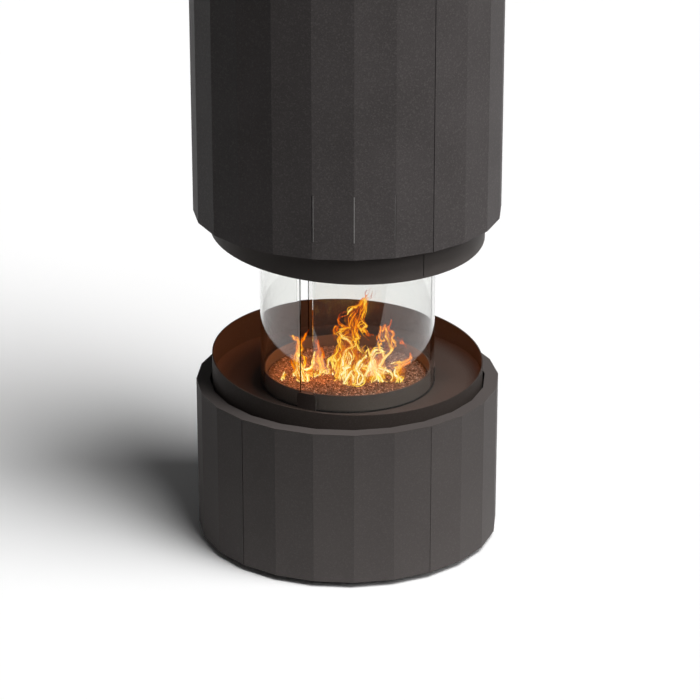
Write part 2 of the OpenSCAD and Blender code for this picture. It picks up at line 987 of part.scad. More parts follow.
// Faceted casing of the hood, with its seam at the front and the opening for the hatch
module hood_casing() {
    color(anthracite)
        difference() {
            translate([0, 0, hood_z])
                facet_tube(body_r, sheet_t, total_h - hood_z);
            translate([-seam_w / 2, -body_r - over, hood_z - over])
                cube([seam_w, sheet_t + strip_t + over, total_h - hood_z + 2 * over]);
            translate([0, 0, hatch_z - hatch_shut_gap])
                difference() {
                    wedge(hatch_from - half_gap(hatch_gap), hatch_to + half_gap(hatch_shut_gap), body_r,
                        hatch_h + 2 * hatch_shut_gap);
                    translate([0, 0, -over])
                        cylinder(r = plate_r, h = hatch_h + 2 * hatch_shut_gap + 2 * over);
                }
        }
}

// Strip behind the seam of the hood
module hood_seam_strip() {
    strip_a = strip_w / body_r * 180 / PI / 2;
    color(dark_steel)
        wall_part(-strip_a, strip_a, strip_t, inset(body_r, sheet_t) - run, hood_plate_z + 2 * sheet_t,
            top_z - hood_plate_z - 2 * sheet_t);
}

// Corner tabs between the casing and the hood's floor and top plate
module hood_tabs() {
    wall_in = body_r * flat_share - sheet_t;
    color(dark_steel)
        for (a = tab_angles)
            rotate([0, 0, a]) {
                translate([-tab_w / 2, -wall_in, hood_plate_z + sheet_t])
                    tab_shape();
                translate([-tab_w / 2, -wall_in, top_z])
                    mirror([0, 0, 1])
                        tab_shape();
            }
}

module tab_shape() {
    cube([tab_w, tab_t, tab_h]);
    cube([tab_w, tab_foot, tab_t]);
}

// Inner duct that leads the warm air up
module warm_air_duct() {
    color(steel)
        translate([0, 0, duct_z])
            tube(duct_r, duct_r - duct_t, top_z - duct_z);
}

// Two faceted stiffening rings behind the casing
module hood_frame_rings() {
    color(dark_steel)
        for (share = frame_shares)
            translate([0, 0, hood_z + (total_h - hood_z) * share])
                facet_tube(inset(body_r, sheet_t + strip_t) - fit, frame_w, frame_t);
}

// Heavy ring that the fixing bolts pull on
module hanger_ring() {
    color(dark_steel)
        translate([0, 0, top_z - hanger_t])
            difference() {
                tube(fix_r + hanger_w / 2, fix_r - hanger_w / 2, hanger_t);
                ring_of(fix_angles, fix_r, -over)
                    cylinder(r = fix_hole_r, h = hanger_t + 2 * over);
            }
}

// Top plate with the mouth of the duct and the holes that fix the hood to the ceiling
module top_plate() {
    color(anthracite)
        translate([0, 0, top_z])
            difference() {
                facet_prism(inset(body_r, sheet_t) - fit, top_t);
                translate([0, 0, -over])
                    cylinder(r = mouth_r, h = top_t + 2 * over);
                ring_of(fix_angles, fix_r, -over)
                    cylinder(r = fix_hole_r, h = top_t + 2 * over);
            }
}

module hatch_hinge_brackets() {
    color(dark_steel)
        for (share = hatch_arm_shares)
            pin_ear(hatch_from + facet_a / 2, hatch_back, hatch_in, hatch_arm_w, hatch_pin_r,
                hatch_z + hatch_h * share - fit - ear_t);
}

module hatch_hinge_pin() {
    color(steel)
        for (share = hatch_arm_shares)
            hinge_pin(hatch_from + facet_a / 2, hatch_back, hatch_in, hatch_pin_r, hatch_arm_t,
                hatch_z + hatch_h * share - fit - ear_t);
}

module hatch_magnet() {
    color(graphite)
        magnet_block(hatch_to, hatch_shut_gap, magnet_w / 2, magnet_h, hatch_z + (hatch_h - magnet_h) / 2);
}

// Two-facet hatch in the hood, over the glass channel
module hood_hatch() {
    color(anthracite)
        wall_part(hatch_from + half_gap(hatch_gap), hatch_to - half_gap(hatch_shut_gap), sheet_t, body_r,
            hatch_z, hatch_h);
}

module hatch_hinge_arms() {
    color(dark_steel)
        for (share = hatch_arm_shares)
            translate([0, 0, hatch_z + hatch_h * share])
                hinge_frame(hatch_from + facet_a / 2, hatch_back, hatch_in)
                    crank_arm(hatch_back, hatch_arm_reach, hatch_in, hatch_arm_w, hatch_arm_t,
                        hatch_pin_r);
}

module hatch_strike() {
    color(steel)
        strike_plate(hatch_to, hatch_shut_gap, magnet_w / 2, magnet_h, hatch_z + (hatch_h - magnet_h) / 2);
}

base_casing();
base_top_flange();
base_plate();
levelling_feet();
foot_nuts();
support_posts();
post_bolts();
dish_support_ring();
dish_pan();
dish_ring();
burner_ring();
fuel_tank();
tank_studs();
filler_neck();
wick_pad();
tank_cover();
shaft_bush();
granulate_grate();
granulate_bed();
glass_clips();
glass_seals();
door_hinge_brackets();
door_hinge_pins();
door_magnets();
base_door();
door_hinge_arms();
door_strikes();
filler_cap();
cap_gasket();
regulator_disc();
regulator_shaft();
regulator_lever();
lever_knob();
glass_panel_front();
glass_panel_right();
glass_panel_left();
glass_top_channel();
collar();
collar_plate();
collar_seam_strip();
hood_base_plate();
hood_casing();
hood_seam_strip();
hood_tabs();
warm_air_duct();
hood_frame_rings();
hanger_ring();
top_plate();
hatch_hinge_brackets();
hatch_hinge_pin();
hatch_magnet();
hood_hatch();
hatch_hinge_arms();
hatch_strike();
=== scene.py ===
"""Bioethanol fireplace: finishes, glass, granulate, flames and a plain studio round the fixed frame."""

import math
import random

import bmesh
import bpy
from bpy.props import FloatProperty, FloatVectorProperty, IntProperty, PointerProperty
from mathutils import Euler, Matrix, Vector, noise


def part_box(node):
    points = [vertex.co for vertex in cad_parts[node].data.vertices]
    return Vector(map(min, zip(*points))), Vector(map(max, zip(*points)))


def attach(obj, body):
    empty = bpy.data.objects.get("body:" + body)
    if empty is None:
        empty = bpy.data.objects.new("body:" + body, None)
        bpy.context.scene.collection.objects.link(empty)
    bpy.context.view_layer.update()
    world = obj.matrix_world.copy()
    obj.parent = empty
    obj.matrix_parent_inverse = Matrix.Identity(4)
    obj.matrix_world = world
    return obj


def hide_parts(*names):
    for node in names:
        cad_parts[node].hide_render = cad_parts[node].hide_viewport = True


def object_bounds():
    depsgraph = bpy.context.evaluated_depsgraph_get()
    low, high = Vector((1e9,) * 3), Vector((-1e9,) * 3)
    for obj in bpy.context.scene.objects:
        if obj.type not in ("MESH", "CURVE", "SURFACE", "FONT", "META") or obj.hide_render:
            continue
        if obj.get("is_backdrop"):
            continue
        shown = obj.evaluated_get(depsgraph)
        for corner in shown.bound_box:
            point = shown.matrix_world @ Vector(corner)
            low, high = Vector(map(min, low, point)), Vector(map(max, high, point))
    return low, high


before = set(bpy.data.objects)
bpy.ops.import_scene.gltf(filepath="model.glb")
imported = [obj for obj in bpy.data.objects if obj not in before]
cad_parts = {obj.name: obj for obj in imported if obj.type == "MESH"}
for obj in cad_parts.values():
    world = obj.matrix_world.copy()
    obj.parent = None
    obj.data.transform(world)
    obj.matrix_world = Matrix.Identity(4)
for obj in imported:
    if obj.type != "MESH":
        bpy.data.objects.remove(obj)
cad_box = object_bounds()

bl_info = {
    "name": "Bioethanol Fireplace",
    "version": (1, 0, 0),
    "blender": (4, 5, 0),
    "location": "View3D > Sidebar > Fireplace",
    "description": "Finishes, glass, granulate and flames of a round bioethanol fireplace",
    "category": "Object",
}

MM = 0.001

# One flat facet of the casings, in degrees, and half of it in radians
FACET = 15
HALF_FACET = math.radians(FACET / 2)

# The camera's azimuth round the object: the flames are placed across it and towards it
CAMERA_AZIMUTH = -32.4
SENSOR_MM = 36

# A look through the flames passes many thin skins of clear gas
CLEAR_SKINS = 32

# Soft lamps: name, azimuth from the camera towards its right, elevation, angle that the lamp fills, and
# the light that it gives a level floor, white being 1
SOFT_LAMPS = [
    ("key_light", 54, 64, 32, 0.84),
    ("side_light", 50, 33, 28, 0.11),
]

# Lamps among the flames: name, place across the view, towards it and up from the bed in millimetres, and
# share of the fire's glow. Each is as thick as a flame's core, which keeps its shadows soft.
FIRE_LAMP_RADIUS = 25
FIRE_LAMPS = [
    ("fire_light_left", -90, 15, 60, 0.3),
    ("fire_light_middle", -10, 30, 80, 0.4),
    ("fire_light_right", 60, 30, 60, 0.14),
    ("fire_light_high", 0, 10, 220, 0.32),
]

# Door and hatch: node, facets counted from the front towards the right, gap at the hinged edge in
# millimetres, and whether there is casing under it. The gap at the other edges is the same for both.
LEAVES = [
    ("base_door", range(-5, 0), 2.0, False),
    ("hood_hatch", range(-3, -1), 1.8, True),
]
SHUT_GAP = 1.0

# The strips that narrow those gaps: the share that they fill, and their depth in millimetres
SEAM_FILL, STRIP_DEPTH = 0.85, 1.4

# Painted highlight lines on the hatch's edges and fold, in millimetres: width, width of the finest, how far they
# stand out, and depth
HIGHLIGHT_WIDE, HIGHLIGHT_HAIR, HIGHLIGHT_OUT, HIGHLIGHT_DEPTH = 0.8, 0.35, 0.12, 0.5

# Bodies of burning gas: place across the view and towards it, lift over the bed, height, half width, lean
# of the tip across the view, sideways bend, and the share of the height where it is widest. Millimetres,
# apart from the share.
GAS_BODIES = [
    (-125, 28, 0, 22, 3, 2, 2, 0.3),
    (-98, 15, 0, 64, 11, 0, 4, 0.2),
    (-96, 15, 50, 46, 8, -9, -4, 0.45),
    (-90, 15, 50, 46, 5, 8, 3, 0.4),
    (-90, 36, -2, 36, 10, 2, -4, 0.25),
    (-72, 14, 0, 32, 8, 4, 3, 0.25),
    (-58, 6, 0, 62, 9, 2, -3, 0.3),
    (-60, 6, 38, 36, 5, -3, 3, 0.4),
    (-40, 4, 0, 38, 9, -6, 3, 0.3),
    (-2, 34, -2, 108, 17, 4, 5, 0.3),
    (-18, 34, 0, 88, 9, 8, -6, 0.3),
    (14, 36, -2, 86, 10, -6, 6, 0.3),
    (4, 44, 82, 98, 15, 28, -9, 0.35),
    (30, 44, 128, 54, 6, 9, 4, 0.35),
    (28, 44, 106, 32, 9, 2, 3, 0.5),
    (-24, 44, 88, 28, 6, -4, 3, 0.5),
    (36, 42, -3, 66, 13, 6, 5, 0.3),
    (52, 34, 0, 72, 12, -4, -6, 0.3),
    (66, 28, 0, 66, 11, 4, 5, 0.35),
    (82, 24, 56, 66, 13, -8, -6, 0.45),
    (94, 36, -3, 46, 11, 8, 4, 0.3),
    (100, 30, 20, 36, 6, 26, 2, 0.3),
    (104, 24, 74, 20, 4, 8, 2, 0.4),
    (8, 56, -5, 36, 11, 0, 3, 0.3),
    (22, -20, 0, 56, 11, -6, 5, 0.25),
    (-20, -34, 0, 50, 10, 6, -4, 0.25),
    (60, -36, 0, 44, 9, 8, 4, 0.25),
]

# Bright tongues: place towards the view, thickness, heat at the start and at the end, and the points that
# it runs through, each across the view and up from the bed. Millimetres, apart from the heats, 0 to 1.
TONGUES = [
    (15, 1.5, 1.0, 0.45, ((-110, 0), (-102, 17), (-98, 39), (-100, 50), (-94, 61), (-96, 76), (-105, 82),
                          (-107, 92))),
    (15, 1.2, 0.95, 0.3, ((-93, 27), (-96, 43), (-92, 55), (-87, 62), (-92, 73), (-86, 79), (-81, 96))),
    (44, 1.0, 0.95, 0.9, ((-94, 38), (-90, 20), (-88, 4), (-81, -2), (-79, 10), (-83, 24))),
    (12, 1.3, 0.95, 0.75, ((-94, 27), (-84, 15), (-72, 21), (-67, 32), (-68, 46), (-66, 55))),
    (15, 0.9, 0.6, 0.3, ((-100, 10), (-106, 20), (-111, 32), (-112, 39))),
    (15, 1.0, 0.7, 0.5, ((-96, 6), (-87, 20), (-83, 33), (-87, 43))),
    (28, 1.1, 0.9, 0.9, ((-124, 19), (-127, 10), (-125, 3), (-122, -1))),
    (8, 1.4, 1.0, 0.6, ((-69, 3), (-64, -1), (-56, 4), (-52, 15), (-55, 28), (-59, 38), (-58, 47))),
    (4, 1.4, 1.0, 0.3, ((-41, 0), (-48, 6), (-51, 20), (-53, 36), (-49, 49), (-50, 60))),
    (4, 1.0, 0.5, 0.15, ((-58, 34), (-61, 47), (-59, 59), (-62, 71))),
    (2, 1.3, 0.95, 0.7, ((-46, 0), (-39, 5), (-38, 17), (-39, 28), (-32, 34), (-26, 28))),
    (6, 1.0, 0.8, 0.6, ((-22, 5), (-26, 15), (-22, 27), (-28, 39), (-21, 50), (-18, 64), (-14, 76), (-15, 86))),
    (30, 1.5, 1.0, 0.85, ((-8, 4), (-6, 22), (-12, 35), (-11, 47), (-7, 59), (0, 65), (8, 74), (1, 85),
                          (-10, 93), (-16, 104))),
    (44, 1.3, 0.8, 0.7, ((-16, 109), (-12, 114), (-3, 116), (6, 117))),
    (44, 0.9, 0.5, 0.3, ((-17, 104), (-24, 106), (-28, 112), (-26, 119), (-21, 119), (-22, 112), (-14, 108))),
    (44, 0.9, 0.4, 0.25, ((-3, 118), (-11, 120), (-18, 127), (-20, 135), (-12, 139), (-2, 143))),
    (44, 1.5, 0.9, 0.6, ((-2, 143), (2, 150), (10, 159), (22, 164), (30, 172), (33, 178))),
    (44, 0.5, 0.3, 0.05, ((31, 173), (35, 182), (34, 190), (37, 198))),
    (44, 0.4, 0.2, 0.05, ((40, 172), (46, 180), (46, 188), (47, 196))),
    (44, 1.2, 0.7, 0.3, ((5, 112), (3, 124), (8, 136), (16, 147), (22, 159), (31, 169))),
    (44, 1.2, 0.8, 0.6, ((40, 174), (34, 166), (36, 159), (30, 148), (28, 135))),
    (44, 1.0, 0.65, 0.4, ((12, 108), (15, 122), (20, 136), (25, 149), (32, 159), (39, 169))),
    (44, 1.5, 0.7, 0.85, ((27, 132), (21, 124), (27, 113), (33, 119), (38, 122), (32, 128), (27, 132))),
    (44, 1.1, 0.7, 0.2, ((28, 115), (35, 108), (39, 102), (46, 99))),
    (30, 1.3, 0.95, 0.5, ((34, 56), (24, 64), (17, 78), (15, 90), (22, 91), (17, 100), (14, 108),
                         (18, 122), (15, 135))),
    (30, 1.0, 0.8, 0.5, ((10, 65), (6, 78), (10, 88), (11, 98), (8, 110), (10, 122))),
    (30, 1.0, 0.75, 0.5, ((-11, 61), (-15, 73), (-18, 84), (-11, 92), (-3, 98), (4, 102))),
    (46, 1.3, 1.0, 0.85, ((-7, 10), (-3, 23), (-8, 35), (-10, 51), (-6, 62))),
    (46, 1.3, 1.0, 0.85, ((-8, 37), (-1, 33), (5, 41), (8, 53), (3, 66))),
    (52, 1.4, 1.0, 0.95, ((-14, 19), (-8, 25), (-3, 33), (8, 37))),
    (58, 1.2, 0.95, 0.9, ((-7, 3), (-4, 13), (2, 25), (9, 34))),
    (58, 1.3, 1.0, 0.95, ((8, 28), (10, 13), (14, 2), (22, 3), (28, 13), (28, 25), (23, 36))),
    (58, 1.2, 1.0, 0.9, ((21, 2), (17, 13), (22, 25), (18, 38), (21, 48))),
    (36, 2.2, 1.0, 1.0, ((14, 21), (19, 31), (22, 40), (27, 47))),
    (36, 2.2, 1.0, 1.0, ((33, 15), (39, 24), (43, 32), (46, 43))),
    (30, 1.6, 1.0, 0.8, ((43, 11), (48, 24), (50, 41), (46, 53), (53, 63), (63, 65), (72, 62))),
    (30, 1.3, 0.95, 0.7, ((27, 39), (32, 31), (42, 35), (46, 47), (42, 57), (42, 68))),
    (30, 1.2, 0.9, 0.7, ((27, 39), (30, 47), (36, 51), (35, 59), (41, 65))),
    (24, 1.3, 0.95, 0.8, ((53, 13), (61, 25), (67, 36), (71, 47), (67, 59))),
    (24, 1.5, 0.95, 0.6, ((67, 36), (76, 49), (86, 61), (81, 72), (79, 82), (74, 91), (77, 104), (74, 111))),
    (24, 1.2, 0.85, 0.3, ((87, 62), (92, 75), (86, 86), (91, 94), (87, 102), (82, 106), (84, 118), (86, 127))),
    (24, 1.1, 0.7, 0.4, ((74, 82), (66, 82), (62, 96), (64, 107), (63, 114))),
    (24, 0.9, 0.6, 0.2, ((64, 107), (69, 104), (72, 111), (75, 117))),
    (24, 0.8, 0.35, 0.15, ((102, 87), (104, 79), (102, 74))),
    (24, 0.8, 0.35, 0.15, ((105, 83), (110, 77), (114, 71))),
    (30, 1.2, 0.85, 0.3, ((85, 36), (95, 40), (109, 39), (119, 44), (125, 48), (122, 59))),
    (34, 1.1, 0.75, 0.3, ((93, 28), (103, 33), (113, 36), (125, 43))),
    (40, 1.4, 1.0, 0.9, ((56, 22), (64, 15), (68, 6), (76, 3), (85, 0))),
    (36, 1.2, 0.95, 0.85, ((61, 27), (72, 26), (83, 21), (88, 10), (85, 0))),
    (38, 1.5, 1.0, 0.95, ((94, 30), (91, 18), (97, 11), (105, 6), (107, -1))),
    (30, 1.0, 0.9, 0.7, ((76, 29), (70, 14), (74, 4))),
    (30, 1.0, 0.75, 0.5, ((65, 65), (63, 73), (66, 78))),
    (22, 1.1, 0.85, 0.6, ((91, 11), (101, 21), (101, 31), (105, 36))),
    (20, 1.1, 0.8, 0.6, ((-24, 8), (-19, 20), (-21, 33), (-15, 45), (-17, 57))),
    (52, 1.0, 0.9, 0.8, ((38, 13), (35, 23), (40, 33), (36, 43))),
    (30, 1.0, 0.85, 0.7, ((53, 4), (48, 14), (52, 24), (53, 35), (57, 45))),
    (10, 1.0, 0.9, 0.8, ((-105, -1), (-98, 10), (-92, 21), (-94, 31))),
]

# Layers of a tongue, from its core outwards: thickness, warmth and density, as shares of the core's
LAYERS = [(1.0, 1.0, 0.97), (1.7, 0.7, 0.34), (2.7, 0.42, 0.1)]

# Strands of a tongue, how far they stray and how much the air stirs them, and the heights between which
# tongues get cooler and slimmer. Millimetres, apart from the number.
STRANDS = 4
STRAY, STIRRED = 5, 7
TALL_FROM, TALL_TO = 80, 140

# Bodies of gas: their skins as shares of their half width, their warmth and density on the bed and high up,
# and the licks at the foot of each on the bed
SKINS = (1.0, 0.72, 0.42)
LOW_GAS, HIGH_GAS = (0.47, 0.09), (0.26, 0.045)
LICKS = 3

# How far flames start under the top of the bed, and the sizes of the swirls that stir them, in millimetres
SUNK = 2
WIDE_SWIRL, SMALL_SWIRL = 26, 9

# Seeds of the random draws. Without its own, noise vectors would change from run to run.
GRAIN_SEED = 11
FLAME_SEED = 4
NOISE_SEED = 6

# Top of the granulate in millimetres: how far it is heaped in its middle, how uneven it is, and how deep
# its loose layer reaches. Then the sieved sizes as shares of the mean, the mean itself being the commonest.
HEAP, UNEVEN, LOOSE = 2.6, 1.0, 3.2
SIEVED = (0.7, 0.85, 1.0, 1.0, 1.2, 1.35)

# Grains that are put together before they are poured on the bed, as a growing mesh takes ever longer
LOT = 100


def linear(hex_colour):
    """sRGB hex colour as linear RGBA."""
    parts = [int(hex_colour[i : i + 2], 16) / 255 for i in (1, 3, 5)]
    return tuple(c / 12.92 if c <= 0.04045 else ((c + 0.055) / 1.055) ** 2.4 for c in parts) + (1.0,)


def per_mm(size):
    """Texture scale that gives a pattern of that size in millimetres on Object coordinates."""
    return 1 / (size * MM)


def new_material(name):
    """An empty node material and its tree."""
    material = bpy.data.materials.new(name)
    material.use_nodes = True
    material.node_tree.nodes.clear()
    return material, material.node_tree


def add_node(tree, kind, settings=None, inputs=None):
    """Adds a node with its own settings, and gives each input a value or links a socket to it.

    Inputs go by name, or by number where a node has several of the same name, as a Mix or Math node has.
    """
    node = tree.nodes.new(kind)
    for name, value in (settings or {}).items():
        setattr(node, name, value)
    for key, value in (inputs or {}).items():
        if isinstance(value, bpy.types.NodeSocket):
            tree.links.new(value, node.inputs[key])
        else:
            node.inputs[key].default_value = value
    return node


def ramp(tree, factor, stops):
    """Colour ramp over a factor. Each stop is a place and a hex colour."""
    node = add_node(tree, "ShaderNodeValToRGB", inputs={"Fac": factor})
    elements = node.color_ramp.elements
    while len(elements) < len(stops):
        elements.new(0.5)
    for element, (place, colour) in zip(elements, stops, strict=True):
        element.position = place
        element.color = linear(colour)
    return node.outputs["Color"]


def output(tree, shader):
    """Links a shader to the material's surface."""
    add_node(tree, "ShaderNodeOutputMaterial", inputs={"Surface": shader})


def powder_coat(name, dark, light, grain_mm, grain_depth, roughness, sparkle):
    """Polyester powder coat, sprayed and baked: matt, with a fine pebbled skin and a few mica flecks.

    The real grain is about 0.3 mm. It is drawn coarser, because at one pixel to 2 mm it would not show. Faint
    clouds of 140 mm, as the spray leaves them, break up the large faces.
    """
    material, tree = new_material(name)
    place = add_node(tree, "ShaderNodeTexCoord").outputs["Object"]
    grain = add_node(tree, "ShaderNodeTexNoise", inputs={
        "Vector": place, "Scale": per_mm(grain_mm), "Detail": 3.0, "Roughness": 0.6})
    cloud = add_node(tree, "ShaderNodeTexNoise", inputs={
        "Vector": place, "Scale": per_mm(140), "Detail": 2.0, "Roughness": 0.5})
    fleck = add_node(tree, "ShaderNodeTexVoronoi", inputs={"Vector": place, "Scale": per_mm(grain_mm * 1.3)})
    tone = add_node(tree, "ShaderNodeMapRange", inputs={
        "Value": grain.outputs["Fac"], "From Min": 0.3, "From Max": 0.7, "To Min": 0.2, "To Max": 0.8})
    drift = add_node(tree, "ShaderNodeMapRange", inputs={
        "Value": cloud.outputs["Fac"], "From Min": 0.35, "From Max": 0.65, "To Min": -0.12, "To Max": 0.12})
    mixed = add_node(tree, "ShaderNodeMath", {"operation": "ADD", "use_clamp": True},
                     {0: tone.outputs["Result"], 1: drift.outputs["Result"]})
    paint = ramp(tree, mixed.outputs["Value"], [(0.0, dark), (1.0, light)])
    chance = add_node(tree, "ShaderNodeSeparateColor", inputs={"Color": fleck.outputs["Color"]})
    lit = add_node(tree, "ShaderNodeMapRange", inputs={
        "Value": chance.outputs["Red"], "From Min": 0.7, "From Max": 1.0, "To Min": 0.0, "To Max": sparkle})
    flecked = add_node(tree, "ShaderNodeMix", {"data_type": "RGBA"}, {
        "Factor": lit.outputs["Result"], 6: paint, 7: linear("#a39d99")})
    rough = add_node(tree, "ShaderNodeMapRange", inputs={
        "Value": grain.outputs["Fac"], "From Min": 0.3, "From Max": 0.7,
        "To Min": roughness - 0.06, "To Max": roughness + 0.06})
    bump = add_node(tree, "ShaderNodeBump", inputs={
        "Height": grain.outputs["Fac"], "Distance": grain_depth * MM, "Strength": 0.6})
    coat = add_node(tree, "ShaderNodeBsdfPrincipled", inputs={
        "Base Color": flecked.outputs[2], "Roughness": rough.outputs["Result"],
        "Normal": bump.outputs["Normal"], "Specular IOR Level": 0.11})
    output(tree, coat.outputs["BSDF"])
    return material


def metal(name, dark, light, roughness, stretch, grain_mm):
    """Bare or plated metal: the grain is drawn out along the way it was brushed, rolled or turned.

    Brush and turning marks are 0.05 to 0.2 mm apart. They are drawn coarser, so that they show.
    """
    material, tree = new_material(name)
    place = add_node(tree, "ShaderNodeTexCoord").outputs["Object"]
    drawn = add_node(tree, "ShaderNodeMapping", inputs={"Vector": place, "Scale": stretch})
    grain = add_node(tree, "ShaderNodeTexNoise", inputs={
        "Vector": drawn.outputs["Vector"], "Scale": per_mm(grain_mm), "Detail": 4.0, "Roughness": 0.65})
    colour = ramp(tree, grain.outputs["Fac"], [(0.25, dark), (0.75, light)])
    rough = add_node(tree, "ShaderNodeMapRange", inputs={
        "Value": grain.outputs["Fac"], "From Min": 0.3, "From Max": 0.7,
        "To Min": roughness - 0.08, "To Max": roughness + 0.08})
    bump = add_node(tree, "ShaderNodeBump", inputs={
        "Height": grain.outputs["Fac"], "Distance": 0.05 * MM, "Strength": 0.5})
    surface = add_node(tree, "ShaderNodeBsdfPrincipled", inputs={
        "Base Color": colour, "Metallic": 1.0, "Roughness": rough.outputs["Result"],
        "Normal": bump.outputs["Normal"]})
    output(tree, surface.outputs["BSDF"])
    return material


def moulded(name, dark, light, roughness, grain_mm, depth_mm):
    """Moulded, pressed or felted stuff: an even colour broken up by its grain.

    The skin of a moulding is finer than 0.5 mm. It is drawn coarser, so that it shows.
    """
    material, tree = new_material(name)
    place = add_node(tree, "ShaderNodeTexCoord").outputs["Object"]
    grain = add_node(tree, "ShaderNodeTexNoise", inputs={
        "Vector": place, "Scale": per_mm(grain_mm), "Detail": 5.0, "Roughness": 0.7})
    colour = ramp(tree, grain.outputs["Fac"], [(0.3, dark), (0.7, light)])
    bump = add_node(tree, "ShaderNodeBump", inputs={
        "Height": grain.outputs["Fac"], "Distance": depth_mm * MM, "Strength": 0.7})
    surface = add_node(tree, "ShaderNodeBsdfPrincipled", inputs={
        "Base Color": colour, "Roughness": roughness, "Normal": bump.outputs["Normal"]})
    output(tree, surface.outputs["BSDF"])
    return material


def fire_glass():
    """Heat-proof glass ceramic, rolled and bent: clear and polished, with a long faint wave in what it mirrors.

    The wave is about 90 mm long, as on rolled glass. Lamps shine through the panes.
    """
    material, tree = new_material("glass_ceramic_clear")
    place = add_node(tree, "ShaderNodeTexCoord").outputs["Object"]
    wave = add_node(tree, "ShaderNodeTexNoise", inputs={"Vector": place, "Scale": per_mm(90), "Detail": 1.0})
    bump = add_node(tree, "ShaderNodeBump", inputs={
        "Height": wave.outputs["Fac"], "Distance": 0.1 * MM, "Strength": 0.3})
    pane = add_node(tree, "ShaderNodeBsdfPrincipled", inputs={
        "Base Color": linear("#f6f7f5"), "Roughness": 0.0, "IOR": 1.54, "Transmission Weight": 1.0,
        "Normal": bump.outputs["Normal"]})
    clear = add_node(tree, "ShaderNodeBsdfTransparent", inputs={"Color": linear("#f6f7f5")})
    ray = add_node(tree, "ShaderNodeLightPath")
    mixed = add_node(tree, "ShaderNodeMixShader", inputs={
        "Fac": ray.outputs["Is Shadow Ray"], 1: pane.outputs["BSDF"], 2: clear.outputs["BSDF"]})
    output(tree, mixed.outputs["Shader"])
    return material


def granulate_stone():
    """Baked ceramic granulate, crushed and sieved: dull grains, each with its own tone, and painted shade in the pits
    of its pores.

    The cells are 2.8 mm, so that a grain of 3 to 5 mm shows one or two tones, and the pores are 1.4 mm.
    """
    material, tree = new_material("ceramic_granulate_baked")
    place = add_node(tree, "ShaderNodeTexCoord").outputs["Object"]
    cell = add_node(tree, "ShaderNodeTexVoronoi", inputs={"Vector": place, "Scale": per_mm(2.8)})
    tone = add_node(tree, "ShaderNodeSeparateColor", inputs={"Color": cell.outputs["Color"]})
    pores = add_node(tree, "ShaderNodeTexNoise", inputs={
        "Vector": place, "Scale": per_mm(1.4), "Detail": 3.0, "Roughness": 0.7})
    colour = ramp(tree, tone.outputs["Red"], [
        (0.0, "#42352d"), (0.35, "#69574a"), (0.75, "#857262"), (1.0, "#c4b3a4")])
    # Painted shade: the colour is darkened where the pores sink in, as the bump below shapes them
    pore_shaded = add_node(tree, "ShaderNodeMix", {"data_type": "RGBA", "blend_type": "MULTIPLY"}, {
        "Factor": 0.6, 6: colour, 7: ramp(tree, pores.outputs["Fac"], [(0.35, "#6f6a66"), (0.6, "#ffffff")])})
    bump = add_node(tree, "ShaderNodeBump", inputs={
        "Height": pores.outputs["Fac"], "Distance": 0.3 * MM, "Strength": 0.8})
    stone = add_node(tree, "ShaderNodeBsdfPrincipled", inputs={
        "Base Color": pore_shaded.outputs[2], "Roughness": 0.92, "Normal": bump.outputs["Normal"]})
    output(tree, stone.outputs["BSDF"])
    return material


